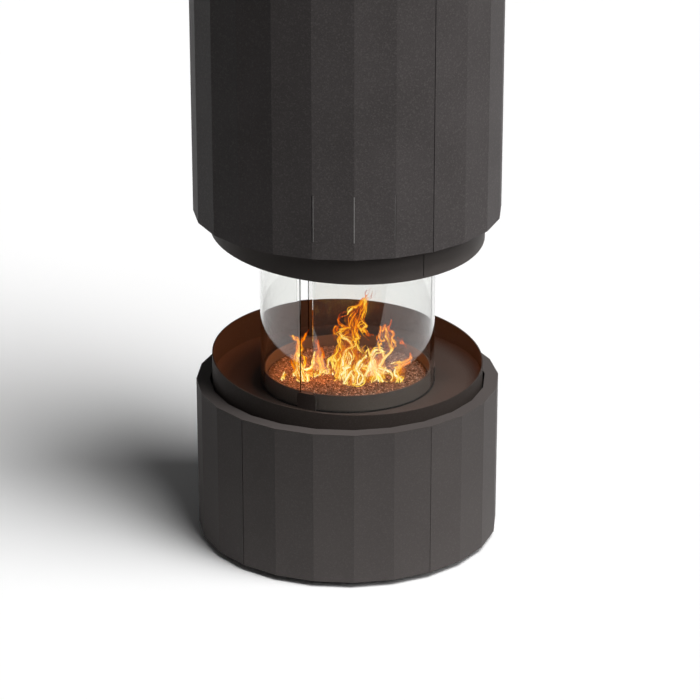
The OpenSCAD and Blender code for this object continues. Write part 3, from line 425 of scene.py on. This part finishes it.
def burning_gas():
    """Burning ethanol vapour: thin glowing gas, white-yellow where it is hottest and red where it dies out.

    The attribute warmth runs from 0 to 1, and the attribute body tells how dense the gas is. The swirls are
    16 mm wide and the bright lines in them lie 11 mm apart, both drawn out upwards, as in a small flame.
    """
    material, tree = new_material("burning_ethanol_gas")
    place = add_node(tree, "ShaderNodeTexCoord").outputs["Object"]
    heat = add_node(tree, "ShaderNodeAttribute", {"attribute_name": "warmth"}).outputs["Fac"]
    body = add_node(tree, "ShaderNodeAttribute", {"attribute_name": "body"}).outputs["Fac"]
    tall = add_node(tree, "ShaderNodeMapping", inputs={"Vector": place, "Scale": (1.0, 1.0, 0.45)})
    swirl = add_node(tree, "ShaderNodeTexNoise", inputs={
        "Vector": tall.outputs["Vector"], "Scale": per_mm(16), "Detail": 2.0})
    bent = add_node(tree, "ShaderNodeMix", {"data_type": "VECTOR"}, {
        "Factor": 0.02, 4: tall.outputs["Vector"], 5: swirl.outputs["Color"]})
    licks = add_node(tree, "ShaderNodeTexNoise", inputs={
        "Vector": bent.outputs[1], "Scale": per_mm(11), "Detail": 1.0, "Roughness": 0.5})
    off = add_node(tree, "ShaderNodeMath", {"operation": "SUBTRACT"}, {0: licks.outputs["Fac"], 1: 0.5})
    ridge = add_node(tree, "ShaderNodeMath", {"operation": "ABSOLUTE"}, {0: off.outputs["Value"]})
    line = add_node(tree, "ShaderNodeMapRange", {"interpolation_type": "SMOOTHSTEP"}, {
        "Value": ridge.outputs["Value"], "From Min": 0.0, "From Max": 0.05, "To Min": 1.0, "To Max": 0.0})
    shift = add_node(tree, "ShaderNodeMapRange", inputs={
        "Value": swirl.outputs["Fac"], "From Min": 0.3, "From Max": 0.7, "To Min": -0.12, "To Max": 0.12})
    warm = add_node(tree, "ShaderNodeMath", {"operation": "ADD"}, {0: heat, 1: shift.outputs["Result"]})
    hot = add_node(tree, "ShaderNodeMath", {"operation": "MULTIPLY_ADD", "use_clamp": True},
                   {0: line.outputs["Result"], 1: 0.22, 2: warm.outputs["Value"]})
    colour = ramp(tree, hot.outputs["Value"], [
        (0.0, "#7a1a00"), (0.2, "#c64604"), (0.38, "#f0760a"), (0.52, "#fea812"), (0.64, "#fed02c"),
        (0.76, "#ffec68"), (0.88, "#fffbb4"), (1.0, "#fffee8")])
    patch = add_node(tree, "ShaderNodeMapRange", {"interpolation_type": "SMOOTHSTEP"}, {
        "Value": swirl.outputs["Fac"], "From Min": 0.36, "From Max": 0.6, "To Min": 0.15, "To Max": 1.1})
    dense = add_node(tree, "ShaderNodeMath", {"operation": "MULTIPLY_ADD"},
                     {0: line.outputs["Result"], 1: 2.0, 2: patch.outputs["Result"]})
    shown = add_node(tree, "ShaderNodeMath", {"operation": "MULTIPLY", "use_clamp": True},
                     {0: body, 1: dense.outputs["Value"]})
    glow = add_node(tree, "ShaderNodeMapRange", inputs={
        "Value": body, "From Min": 0.0, "From Max": 1.0, "To Min": 1.3, "To Max": 1.2})
    light = add_node(tree, "ShaderNodeEmission", inputs={"Color": colour, "Strength": glow.outputs["Result"]})
    clear = add_node(tree, "ShaderNodeBsdfTransparent")
    mixed = add_node(tree, "ShaderNodeMixShader", inputs={
        "Fac": shown.outputs["Value"], 1: clear.outputs["BSDF"], 2: light.outputs["Emission"]})
    output(tree, mixed.outputs["Shader"])
    return material


# Which nodes get which finish
FINISHES = {
    "casing_coat": ["base_casing", "base_door"],
    "hood_coat": ["hood_casing", "hood_hatch", "hood_base_plate", "top_plate"],
    "satin_coat": ["base_top_flange"],
    "ring_coat": ["dish_ring"],
    "pan_coat_painted_glow_and_shade": ["dish_pan"],
    "collar_coat_painted_light": ["collar"],
    "heat_coat": ["burner_ring", "glass_clips", "glass_top_channel"],
    "stainless": ["fuel_tank", "filler_neck", "tank_cover", "granulate_grate", "regulator_disc",
                  "regulator_shaft", "warm_air_duct"],
    "zinc_sheet": ["base_plate", "support_posts", "dish_support_ring", "door_hinge_brackets",
                   "door_hinge_arms", "regulator_lever", "collar_plate", "collar_seam_strip",
                   "hood_seam_strip", "hood_tabs", "hood_frame_rings", "hanger_ring",
                   "hatch_hinge_brackets", "hatch_hinge_arms"],
    "bright_zinc": ["foot_nuts", "post_bolts", "tank_studs", "door_hinge_pins", "hatch_hinge_pin",
                    "door_strikes", "hatch_strike"],
    "rubber": ["glass_seals", "cap_gasket"],
    "black_plastic": ["levelling_feet", "lever_knob", "filler_cap"],
    "ferrite": ["door_magnets", "hatch_magnet"],
    "fibre": ["wick_pad"],
    "brass": ["shaft_bush"],
    "glass": ["glass_panel_front", "glass_panel_right", "glass_panel_left"],
    "stone": ["granulate_bed"],
}


def make_finishes():
    """Every finish by the name that FINISHES uses."""
    return {
        # Powder coat on folded sheet, baked: dull charcoal, with a fine tooth that only shows close by
        "casing_coat": powder_coat("powder_coat_charcoal_fine", "#544f4e", "#605b59", 1.7, 0.10, 0.58, 0.06),
        # The same coat with more mica in it: the tall facets glitter faintly
        "hood_coat": powder_coat("powder_coat_charcoal_sparkle", "#4d4948", "#656060", 2.0, 0.10, 0.58, 0.12),
        # Smoother powder coat on the flat top of the base: even, with a soft shine
        "satin_coat": powder_coat("powder_coat_charcoal_satin", "#56504e", "#5e5856", 1.4, 0.05, 0.5, 0.03),
        # The same coat on the rolled collar, painted a shade lighter: painted light for what the hood's overhang
        # keeps off it
        "collar_coat_painted_light": powder_coat("powder_coat_charcoal_painted_light", "#635d5a", "#6b6562", 1.4, 0.05, 0.5, 0.03),
        # Heat-proof coat, sprayed on the rolled ring of the dish: dull and dark, and it takes on the fire's glow
        "ring_coat": powder_coat("heat_proof_coat_smooth", "#3b3431", "#443d39", 1.6, 0.05, 0.6, 0.03),
        # Heat-proof coat on the floor of the dish: dull warm grey, darkened and browned as painted fire glow and
        # painted shade
        "pan_coat_painted_glow_and_shade": powder_coat("heat_proof_coat_painted_glow", "#493e39", "#524640", 1.4, 0.05, 0.6, 0.03),
        # Heat-proof coat on the burner ring and the clips: smooth, with a soft shine
        "heat_coat": powder_coat("heat_proof_coat_satin", "#4c4643", "#56504c", 1.4, 0.05, 0.45, 0.03),
        # Stainless steel, brushed upright: pale, with light drawn into streaks
        "stainless": metal("stainless_steel_brushed", "#9c9a96", "#c6c4c0", 0.3, (1.0, 1.0, 0.06), 0.8),
        # Zinc-plated sheet as it comes from the rolls: cool grey, clouded in patches of 14 mm
        "zinc_sheet": metal("zinc_plated_sheet", "#85888c", "#a3a6aa", 0.42, (1.0, 1.0, 1.0), 14),
        # Bright zinc on turned screws and pins: lighter and shinier than the sheet
        "bright_zinc": metal("bright_zinc_turned", "#b4b7bb", "#d2d5d9", 0.24, (1.0, 1.0, 0.1), 0.6),
        # Silicone rubber, moulded: black, with hardly any shine
        "rubber": moulded("silicone_rubber_moulded", "#141414", "#1d1d1d", 0.78, 1.2, 0.05),
        # Black nylon, moulded: black, with a soft shine on its spark-eroded skin
        "black_plastic": moulded("black_nylon_moulded", "#191919", "#242424", 0.5, 0.9, 0.08),
        # Ferrite, pressed and sintered: dark stony grey
        "ferrite": moulded("ferrite_pressed", "#28282b", "#353539", 0.6, 1.5, 0.05),
        # Ceramic fibre, felted: chalky white and soft
        "fibre": moulded("ceramic_fibre_felted", "#d8d3c6", "#f2efe8", 0.95, 2.5, 0.5),
        # Bearing brass, turned: warm yellow with fine rings
        "brass": metal("bearing_brass_turned", "#8f6f33", "#b8944e", 0.32, (1.0, 1.0, 0.1), 0.5),
        "glass": fire_glass(),
        "stone": granulate_stone(),
    }


def object_from(bm, name, material, body):
    """Makes a finished piece from a bmesh and lets it ride on a body."""
    mesh = bpy.data.meshes.new(name)
    bm.to_mesh(mesh)
    bm.free()
    mesh.materials.append(material)
    piece = bpy.data.objects.new(name, mesh)
    bpy.context.scene.collection.objects.link(piece)
    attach(piece, body)
    return piece


def across_view(across, towards, up):
    """A point given across the camera's view, towards it, and up."""
    a = math.radians(CAMERA_AZIMUTH)
    right = Vector((math.cos(a), math.sin(a), 0))
    near = Vector((math.sin(a), -math.cos(a), 0))
    return right * across + near * towards + Vector((0, 0, up))


class FireplaceStage(bpy.types.PropertyGroup):
    """Camera and lamps of the studio."""

    distance: FloatProperty(name="Camera distance", description="From the camera to the point it aims at",
                            default=6.1101, unit="LENGTH")
    elevation: FloatProperty(name="Camera elevation", description="Angle of the camera over the horizon",
                             default=math.radians(21.831), subtype="ANGLE")
    aim_height: FloatProperty(name="Aim height", description="Height of the point the camera aims at",
                              default=0.37711, unit="LENGTH")
    aim_across: FloatProperty(name="Aim offset", description="How far right of the axis the camera aims",
                              default=0.00489, unit="LENGTH")
    lens: FloatProperty(name="Lens", description="Focal length in millimetres on a 36 mm sensor", default=158.70)
    fill: FloatProperty(name="Fill light", description="Light from all round on a floor, white being 1", default=0.06)
    mirrored: FloatProperty(name="Mirrored room", description="Brightness of the room that gloss and glass mirror",
                            default=0.1)
    paper_front: FloatProperty(name="Paper's front edge", description="From the axis to the front edge of the paper",
                               default=1.06, unit="LENGTH")
    paper_reach: FloatProperty(name="Paper's reach", description="How far the paper runs back and to the sides",
                               default=30, unit="LENGTH")
    glow: FloatProperty(name="Fire glow", description="Power of the lamps among the flames, in watts",
                        default=2.15)


class FireplaceFire(bpy.types.PropertyGroup):
    """Granulate and flames."""

    grains: IntProperty(name="Grains", description="Number of grains on the bed", default=9400)
    grain_size: FloatProperty(name="Grain size", description="Mean diameter of a grain", default=4.3 * MM,
                              unit="LENGTH")
    glow_colour: FloatVectorProperty(name="Fire glow colour", description="Colour of the fire's light",
                                     subtype="COLOR", default=linear("#ff9145")[:3])


def add_camera(scene, s):
    """Camera where the photo was taken from."""
    lens = bpy.data.cameras.new("camera")
    lens.lens = s.lens
    lens.sensor_width = SENSOR_MM
    camera = bpy.data.objects.new("camera", lens)
    level = s.distance * math.cos(s.elevation)
    camera.location = across_view(s.aim_across, level, s.aim_height + s.distance * math.sin(s.elevation))
    camera.rotation_euler = Euler((math.pi / 2 - s.elevation, 0, math.radians(CAMERA_AZIMUTH)))
    scene.collection.objects.link(camera)
    scene.camera = camera


def add_paper(scene, s):
    """White paper: it ends in front of the fireplace and runs far back and to the sides."""
    bm = bmesh.new()
    made = bmesh.ops.create_grid(bm, x_segments=1, y_segments=1, size=s.paper_reach)
    for v in made["verts"]:
        v.co = across_view(v.co.x, s.paper_front if v.co.y < 0 else -v.co.y, 0)
    bmesh.ops.recalc_face_normals(bm, faces=bm.faces)
    mesh = bpy.data.meshes.new("studio_paper")
    bm.to_mesh(mesh)
    bm.free()
    material, tree = new_material("studio_paper_white")
    ray = add_node(tree, "ShaderNodeLightPath")
    gloss = add_node(tree, "ShaderNodeMath", {"operation": "MAXIMUM"}, {
        0: ray.outputs["Is Glossy Ray"], 1: ray.outputs["Is Transmission Ray"]})
    seen = add_node(tree, "ShaderNodeMath", {"operation": "MAXIMUM"}, {
        0: ray.outputs["Is Camera Ray"], 1: gloss.outputs["Value"]})
    # The paper looks white, but it throws light up mostly near the base: 0.5 of it within 0.45 m of the
    # axis, and 0.06 of it from 1 m on, as on a paper that ends in a dark room
    place = add_node(tree, "ShaderNodeTexCoord").outputs["Object"]
    reach = add_node(tree, "ShaderNodeVectorMath", {"operation": "LENGTH"}, {0: place})
    near = add_node(tree, "ShaderNodeMapRange", inputs={
        "Value": reach.outputs["Value"], "From Min": 0.45, "From Max": 1.0, "To Min": 0.5, "To Max": 0.06})
    white = add_node(tree, "ShaderNodeMath", {"operation": "MAXIMUM"}, {
        0: seen.outputs["Value"], 1: near.outputs["Result"]})
    matt = add_node(tree, "ShaderNodeBsdfDiffuse", inputs={"Color": white.outputs["Value"]})
    output(tree, matt.outputs["BSDF"])
    mesh.materials.append(material)
    floor = bpy.data.objects.new("studio_paper", mesh)
    scene.collection.objects.link(floor)
    floor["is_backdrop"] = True


def add_world(scene, s):
    """The room: white where it is seen, faint as a light, and dim where it is mirrored."""
    world = bpy.data.worlds.new("studio_world")
    world.use_nodes = True
    tree = world.node_tree
    tree.nodes.clear()
    ray = add_node(tree, "ShaderNodeLightPath")
    seen = add_node(tree, "ShaderNodeMath", {"operation": "MAXIMUM"}, {
        0: ray.outputs["Is Camera Ray"], 1: ray.outputs["Is Transmission Ray"]})
    white = add_node(tree, "ShaderNodeMapRange", inputs={
        "Value": seen.outputs["Value"], "To Min": s.fill, "To Max": 1.0})
    # What was mirrored on its way shows the dim room, also where it then passes through a pane
    strength = add_node(tree, "ShaderNodeMapRange", inputs={
        "Value": ray.outputs["Glossy Depth"], "To Min": white.outputs["Result"], "To Max": s.mirrored})
    sky = add_node(tree, "ShaderNodeBackground", inputs={
        "Color": linear("#ffffff"), "Strength": strength.outputs["Result"]})
    add_node(tree, "ShaderNodeOutputWorld", inputs={"Surface": sky.outputs["Background"]})
    scene.world = world


def add_lamps(scene, s):
    """Soft lamps over the fireplace, and small warm ones among the flames."""
    for name, azimuth, elevation, size, share in SOFT_LAMPS:
        lamp = bpy.data.lights.new(name, "SUN")
        lamp.angle = math.radians(size)
        lamp.energy = math.pi * share / math.sin(math.radians(elevation))
        sun = bpy.data.objects.new(name, lamp)
        sun.rotation_euler = Euler((math.radians(90 - elevation), 0, math.radians(CAMERA_AZIMUTH + azimuth)))
        scene.collection.objects.link(sun)

    fire = scene.fireplace_fire
    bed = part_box("granulate_bed")[1].z
    for name, across, towards, up, share in FIRE_LAMPS:
        glow = bpy.data.lights.new(name, "POINT")
        glow.energy = s.glow * share
        glow.color = fire.glow_colour
        glow.shadow_soft_size = FIRE_LAMP_RADIUS * MM
        lamp = bpy.data.objects.new(name, glow)
        lamp.location = across_view(across * MM, towards * MM, bed + up * MM)
        # They only give light: what is seen of the fire is the flames
        lamp.visible_camera = False
        lamp.visible_glossy = False
        lamp.visible_transmission = False
        scene.collection.objects.link(lamp)


class FIREPLACE_OT_stage(bpy.types.Operator):
    """Camera, floor, backdrop and lamps."""

    bl_idname = "fireplace.stage"
    bl_label = "Studio"

    def execute(self, context):
        scene = context.scene
        s = scene.fireplace_stage
        scene.view_settings.view_transform = "Standard"
        scene.cycles.transparent_max_bounces = CLEAR_SKINS
        add_camera(scene, s)
        add_paper(scene, s)
        add_world(scene, s)
        add_lamps(scene, s)
        return {"FINISHED"}


class FIREPLACE_OT_finishes(bpy.types.Operator):
    """Gives every CAD node its finish."""

    bl_idname = "fireplace.finishes"
    bl_label = "Finishes"

    def execute(self, context):
        finishes = make_finishes()
        left = set(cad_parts)
        for finish, nodes in FINISHES.items():
            for name in nodes:
                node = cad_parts[name]
                node.data.materials.clear()
                node.data.materials.append(finishes[finish])
                left.discard(name)
        if left:
            raise RuntimeError(f"no finish for {sorted(left)}")
        return {"FINISHED"}


def grain_shapes(count, size):
    """A few crushed-stone shapes, each a lumpy icosphere of the given mean diameter."""
    shapes = []
    for k in range(count):
        bm = bmesh.new()
        bmesh.ops.create_icosphere(bm, subdivisions=1, radius=size / 2)
        for v in bm.verts:
            v.co *= 1 + 0.45 * noise.noise(v.co / size * 3.1 + Vector((k * 7.3, 0, 0)))
        mesh = bpy.data.meshes.new(f"grain_shape_{k}")
        bm.to_mesh(mesh)
        bm.free()
        shapes.append(mesh)
    return shapes


class FIREPLACE_OT_granulate(bpy.types.Operator):
    """Bed of loose ceramic grains in place of the plain bed."""

    bl_idname = "fireplace.granulate"
    bl_label = "Granulate"

    def execute(self, context):
        fire = context.scene.fireplace_fire
        rng = random.Random(GRAIN_SEED)
        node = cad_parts["granulate_bed"]
        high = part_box("granulate_bed")[1]
        bm = bmesh.new()
        bm.from_mesh(node.data)
        bmesh.ops.remove_doubles(bm, verts=bm.verts, dist=0.01 * MM)
        shapes = grain_shapes(6, fire.grain_size)
        # Grains lie on a spiral with the golden angle, which spreads them evenly
        batch = bmesh.new()
        lot = bpy.data.meshes.new("grain_lot")
        edge = high.x - 0.5 * fire.grain_size
        turn = math.pi * (3 - math.sqrt(5))
        for k in range(fire.grains):
            share = math.sqrt((k + 0.5) / fire.grains)
            r = edge * share * (1 - 0.012 * rng.random())
            a = k * turn + rng.uniform(-0.35, 0.35) * fire.grain_size / max(r, fire.grain_size)
            uneven = noise.noise(Vector((r * math.sin(a), r * math.cos(a), 0)) * 40)
            heap = HEAP * MM * (1 - share * share) + UNEVEN * MM * uneven
            up = high.z - LOOSE * MM + heap + rng.uniform(-0.9, 1.3) * MM
            size = rng.choice(SIEVED)
            spin = Euler([rng.uniform(0, 2 * math.pi) for _ in range(3)]).to_matrix().to_4x4()
            squash = Matrix.Diagonal((size, size * rng.uniform(0.7, 1.0), size * rng.uniform(0.6, 0.9), 1))
            place = Matrix.Translation((r * math.sin(a), -r * math.cos(a), up)) @ spin @ squash
            shape = shapes[k % len(shapes)]
            shape.transform(place)
            batch.from_mesh(shape)
            shape.transform(place.inverted())
            if k % LOT == LOT - 1 or k == fire.grains - 1:
                batch.to_mesh(lot)
                bm.from_mesh(lot)
                batch.clear()
        batch.free()
        for shape in (*shapes, lot):
            bpy.data.meshes.remove(shape)
        piece = object_from(bm, "ceramic_granulate", node.data.materials[0], "root")
        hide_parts("granulate_bed")
        return {"FINISHED"}


def flame_line(flame, seed):
    """Middle line and half width of a flame, as a function of the share of its height."""
    across, towards, lift, height, half, lean, bend, belly = flame
    spread = math.log(0.5) / math.log(belly)
    spot = Vector((seed * 3.7, seed * 1.9, seed * 5.3))

    def line(t):
        wave = bend * math.sin(2 * math.pi * (0.9 * t + 0.13 * seed)) * t
        waft = noise.noise_vector(Vector((0, 0, t * 1.6)) + spot) * (0.1 * height * t)
        middle = across_view(across + lean * t * t + wave, towards, lift + height * t) + waft
        width = half * max(0.0, math.sin(math.pi * min(t, 1) ** spread)) ** 0.8
        return middle, width

    return line


def stir(place, amount):
    """Moves a point of a flame as the air stirs it: wide slow swirls and small quick ones."""
    wide, small = noise.noise_vector(place / WIDE_SWIRL), noise.noise_vector(place / SMALL_SWIRL)
    return place + wide * amount + small * (amount * 0.45)


def along(points, s):
    """Point at a share of the way along a smooth curve through the points."""
    last = len(points) - 1
    k = min(int(s * last), last - 1)
    t = s * last - k
    a, b, c, d = (points[min(max(i, 0), last)] for i in (k - 1, k, k + 1, k + 2))
    return (b * 2 + (c - a) * t + (a * 2 - b * 5 + c * 4 - d) * t * t + (b * 3 - a - c * 3 + d) * t ** 3) / 2


def new_gas():
    """An empty bmesh with the two attributes that the gas reads."""
    bm = bmesh.new()
    return bm, bm.verts.layers.float.new("warmth"), bm.verts.layers.float.new("body")


def pour(lot, bm):
    """Shuts the shapes of a lot and adds them to a bmesh."""
    bmesh.ops.remove_doubles(lot, verts=lot.verts, dist=0.001 * MM)
    bmesh.ops.recalc_face_normals(lot, faces=lot.faces)
    mesh = bpy.data.meshes.new("lot")
    lot.to_mesh(mesh)
    lot.free()
    bm.from_mesh(mesh)
    bpy.data.meshes.remove(mesh)


def flame_tongue(bm, heat, body, points, size, hot, cool, dense):
    """One layer of a tongue: a tube that swells and thins along its curve, shut at both ends."""
    rows = 5 * (len(points) - 1)
    near = across_view(0, 1, 0)
    rings = {}
    for v in bmesh.ops.create_grid(bm, x_segments=5, y_segments=rows, size=1)["verts"]:
        s = round((v.co.y + 1) / 2, 4)
        if s not in rings:
            centre = along(points, s)
            ahead = along(points, min(s + 0.01, 1)) - along(points, max(s - 0.01, 0))
            swell = (4 * s * (1 - s)) ** 0.45 * (0.65 + 0.9 * abs(noise.noise(centre / 8)))
            rings[s] = (stir(centre, 2.5), ahead.cross(near).normalized(), size * swell, hot + (cool - hot) * s)
        centre, side, r, warm = rings[s]
        a = math.pi * (v.co.x + 1)
        v.co = (centre + (side * math.cos(a) + near * (0.6 * math.sin(a))) * r) * MM
        v[heat] = warm
        v[body] = dense


def gas_skin(bm, heat, body, line, seed, share, warm, dense):
    """One thin skin of a body of gas, torn towards its tip."""
    rings = {}
    for v in bmesh.ops.create_uvsphere(bm, u_segments=18, v_segments=30, radius=1)["verts"]:
        t = round((v.co.z + 1) / 2, 4)
        if t not in rings:
            rings[t] = line(t)
        middle, width = rings[t]
        side = Vector((v.co.x, v.co.y, 0))
        side = side.normalized() if side.length > 1e-6 else side
        torn = 1 + (0.35 + 0.6 * t) * noise.noise(side * 1.6 + Vector((seed, 0, t * 6)))
        v.co = stir(middle + side * width * share * torn, 4 + 9 * t) * MM
        v[heat] = warm * (1 - 0.7 * t)
        v[body] = dense * (1 - t ** 3)


def burn_tongues(tongues, rng, floor):
    """Adds the bright tongues."""
    for towards, thick, hot, cool, sketch in TONGUES:
        lot = new_gas()
        middle = [across_view(across, towards, up + floor) for across, up in sketch]
        thin = min(1.0, 0.3 + hot)
        # Tongues that end high up are cooler and slimmer
        high = min(1.0, max(0.0, sketch[-1][1] - TALL_FROM) / (TALL_TO - TALL_FROM))
        fade = 1.06 - 0.26 * high
        hot, cool, thick = hot * fade, cool * fade, thick * (1.1 - 0.25 * high)
        # One full strand, and slim ones that stray from it
        for strand in range(STRANDS):
            points = middle
            size, cooled, layers = thick * 1.3, 1.0, 3
            if strand:
                drift = Vector([rng.uniform(-1, 1) for _ in range(3)]) * STRAY
                points = [stir(place + drift, STIRRED) for place in middle]
                size, cooled, layers = thick * rng.uniform(0.3, 0.6), rng.uniform(0.6, 0.95), 2
            for grow, warmth, dense in LAYERS[:layers]:
                flame_tongue(*lot, points, size * grow, hot * warmth * cooled, cool * warmth * cooled,
                             dense * thin)
        pour(lot[0], tongues)


def burn_bodies(tongues, skins, rng, floor):
    """Adds the bodies of gas, and the licks at the foot of those that stand on the bed."""
    for k, (across, towards, lift, *shape) in enumerate(GAS_BODIES):
        lot = new_gas()
        height, half = shape[:2]
        grounded = lift < 10
        for _ in range(LICKS if grounded else 0):
            x = across + rng.uniform(-1.1, 1.1) * half
            tall = height * rng.uniform(0.15, 0.5)
            points = [stir(across_view(x + rng.uniform(-3, 3), towards + 6, lift + floor + tall * n / 4), 6)
                      for n in range(5)]
            hot = rng.uniform(0.9, 1.1)
            for grow, warmth, dense in LAYERS[:2]:
                flame_tongue(*lot, points, rng.uniform(0.6, 1.1) * grow, hot * warmth, 0.7 * hot * warmth, dense)
        pour(lot[0], tongues)
        lot = new_gas()
        line = flame_line((across, towards, lift + floor, *shape), k)
        warm, dense = LOW_GAS if grounded else HIGH_GAS
        for share in SKINS:
            gas_skin(*lot, line, k + share, share, warm, dense)
        pour(lot[0], skins)


class FIREPLACE_OT_flames(bpy.types.Operator):
    """Flames over the granulate: thin bodies of orange gas with bright tongues in them."""

    bl_idname = "fireplace.flames"
    bl_label = "Flames"

    def execute(self, context):
        noise.seed_set(NOISE_SEED)
        rng = random.Random(FLAME_SEED)
        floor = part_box("granulate_bed")[1].z / MM - SUNK
        gas = burning_gas()
        tongues, skins = bmesh.new(), bmesh.new()
        burn_tongues(tongues, rng, floor)
        burn_bodies(tongues, skins, rng, floor)
        for name, bm in (("flame_tongues", tongues), ("flame_gas", skins)):
            for face in bm.faces:
                face.smooth = True
            piece = object_from(bm, name, gas, "root")
            # Gas throws no shadow, and its light comes from the lamps among the flames
            piece.visible_shadow = False
            piece.visible_glossy = False
        return {"FINISHED"}


def facet_box(bm, azimuth, radius, u, out, low, high, width, depth):
    """Thin upright box on a facet: its middle is u along the facet, and its face stands out from it."""
    a = math.radians(azimuth)
    far = Vector((math.sin(a), -math.cos(a), 0))
    side = Vector((math.cos(a), math.sin(a), 0))
    flat = radius * math.cos(HALF_FACET)
    place = far * (flat + out - depth / 2) + side * u + Vector((0, 0, (low + high) / 2))
    turn = Matrix((side, far, Vector((0, 0, 1)))).transposed().to_4x4()
    size = Matrix.Diagonal((width, depth, high - low, 1))
    bmesh.ops.create_cube(bm, size=1, matrix=Matrix.Translation(place) @ turn @ size)


def add_seams(radius, half):
    """Thin strips on the edges of the door and of the hatch, which make their seams fine."""
    fill, strip = SEAM_FILL * SHUT_GAP * MM, STRIP_DEPTH * MM
    for node, facets, hinge_gap, casing_under in LEAVES:
        low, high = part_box(node)
        last = facets[-1]
        levels = [(high.z, high.z + fill)]
        if casing_under:
            levels.append((low.z - fill, low.z))
        bm = bmesh.new()
        for k in facets:
            left = -half + (hinge_gap * MM if k == facets[0] else 0)
            right = half - (SHUT_GAP * MM if k == last else 0)
            for bottom, top in levels:
                facet_box(bm, FACET * (k + 0.5), radius, (left + right) / 2, 0, bottom, top, right - left, strip)
        facet_box(bm, FACET * (last + 0.5), radius, half - SHUT_GAP * MM + fill / 2, 0, low.z, high.z + fill, fill,
                  strip)
        bmesh.ops.recalc_face_normals(bm, faces=bm.faces)
        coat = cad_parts[node].data.materials[0]
        object_from(bm, f"{node}_seams", coat, node)


def add_painted_highlights(radius, half):
    """Painted highlights: pale lines on the hatch at its hinged edge, beside its fold, and a hair at its free edge.
    """
    _, facets, hinge_gap, _ = LEAVES[1]
    low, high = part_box("hood_hatch")
    wide, hair, out, depth = (size * MM for size in (HIGHLIGHT_WIDE, HIGHLIGHT_HAIR, HIGHLIGHT_OUT, HIGHLIGHT_DEPTH))
    bm = bmesh.new()
    for k, u, width in (
        (facets[0], -half + hinge_gap * MM + wide / 2, wide),
        (facets[0], half - wide / 3, wide),
        (facets[1], wide / 3 - half, wide),
        (facets[1], half - 1.25 * MM, hair),
    ):
        facet_box(bm, FACET * (k + 0.5), radius, u, out, low.z, high.z, width, depth)
    bmesh.ops.recalc_face_normals(bm, faces=bm.faces)
    # Painted highlights: pale dull lines that stand in for light caught along the hatch's edges and fold
    highlight_finish = moulded("painted_edge_highlight", "#9f9d9b", "#b9b7b5", 0.6, 3.0, 0.05)
    object_from(bm, "hatch_painted_highlights", highlight_finish, "hood_hatch")


class FIREPLACE_OT_edges(bpy.types.Operator):
    """Fine seams round the door and the hatch, and painted highlight lines on the hatch."""

    bl_idname = "fireplace.edges"
    bl_label = "Edges"

    def execute(self, context):
        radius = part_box("hood_casing")[1].x
        half = radius * math.sin(HALF_FACET)
        add_seams(radius, half)
        add_painted_highlights(radius, half)
        return {"FINISHED"}


class FIREPLACE_PT_panel(bpy.types.Panel):
    """Lists the steps that dress the fireplace."""

    bl_idname = "FIREPLACE_PT_panel"
    bl_label = "Fireplace"
    bl_space_type = "VIEW_3D"
    bl_region_type = "UI"
    bl_category = "Fireplace"

    def draw(self, context):
        layout = self.layout
        for group in (context.scene.fireplace_stage, context.scene.fireplace_fire):
            for name in group.__annotations__:
                layout.prop(group, name)
        for step in STEPS:
            layout.operator(step.bl_idname)


STEPS = (
    FIREPLACE_OT_stage,
    FIREPLACE_OT_finishes,
    FIREPLACE_OT_edges,
    FIREPLACE_OT_granulate,
    FIREPLACE_OT_flames,
)
CLASSES = (FireplaceStage, FireplaceFire, *STEPS, FIREPLACE_PT_panel)


def register():
    for cls in CLASSES:
        bpy.utils.register_class(cls)
    bpy.types.Scene.fireplace_stage = PointerProperty(type=FireplaceStage)
    bpy.types.Scene.fireplace_fire = PointerProperty(type=FireplaceFire)


def unregister():
    del bpy.types.Scene.fireplace_stage
    del bpy.types.Scene.fireplace_fire
    for cls in reversed(CLASSES):
        bpy.utils.unregister_class(cls)


def main():
    """Registers the add-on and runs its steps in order."""
    register()
    bpy.ops.fireplace.stage()
    bpy.ops.fireplace.finishes()
    bpy.ops.fireplace.edges()
    bpy.ops.fireplace.granulate()
    bpy.ops.fireplace.flames()
    boxes = {"cad": cad_box, "visual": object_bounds()}
    {name: [list(corner) for corner in box] for name, box in boxes.items()}


if __name__ == "__main__":
    main()
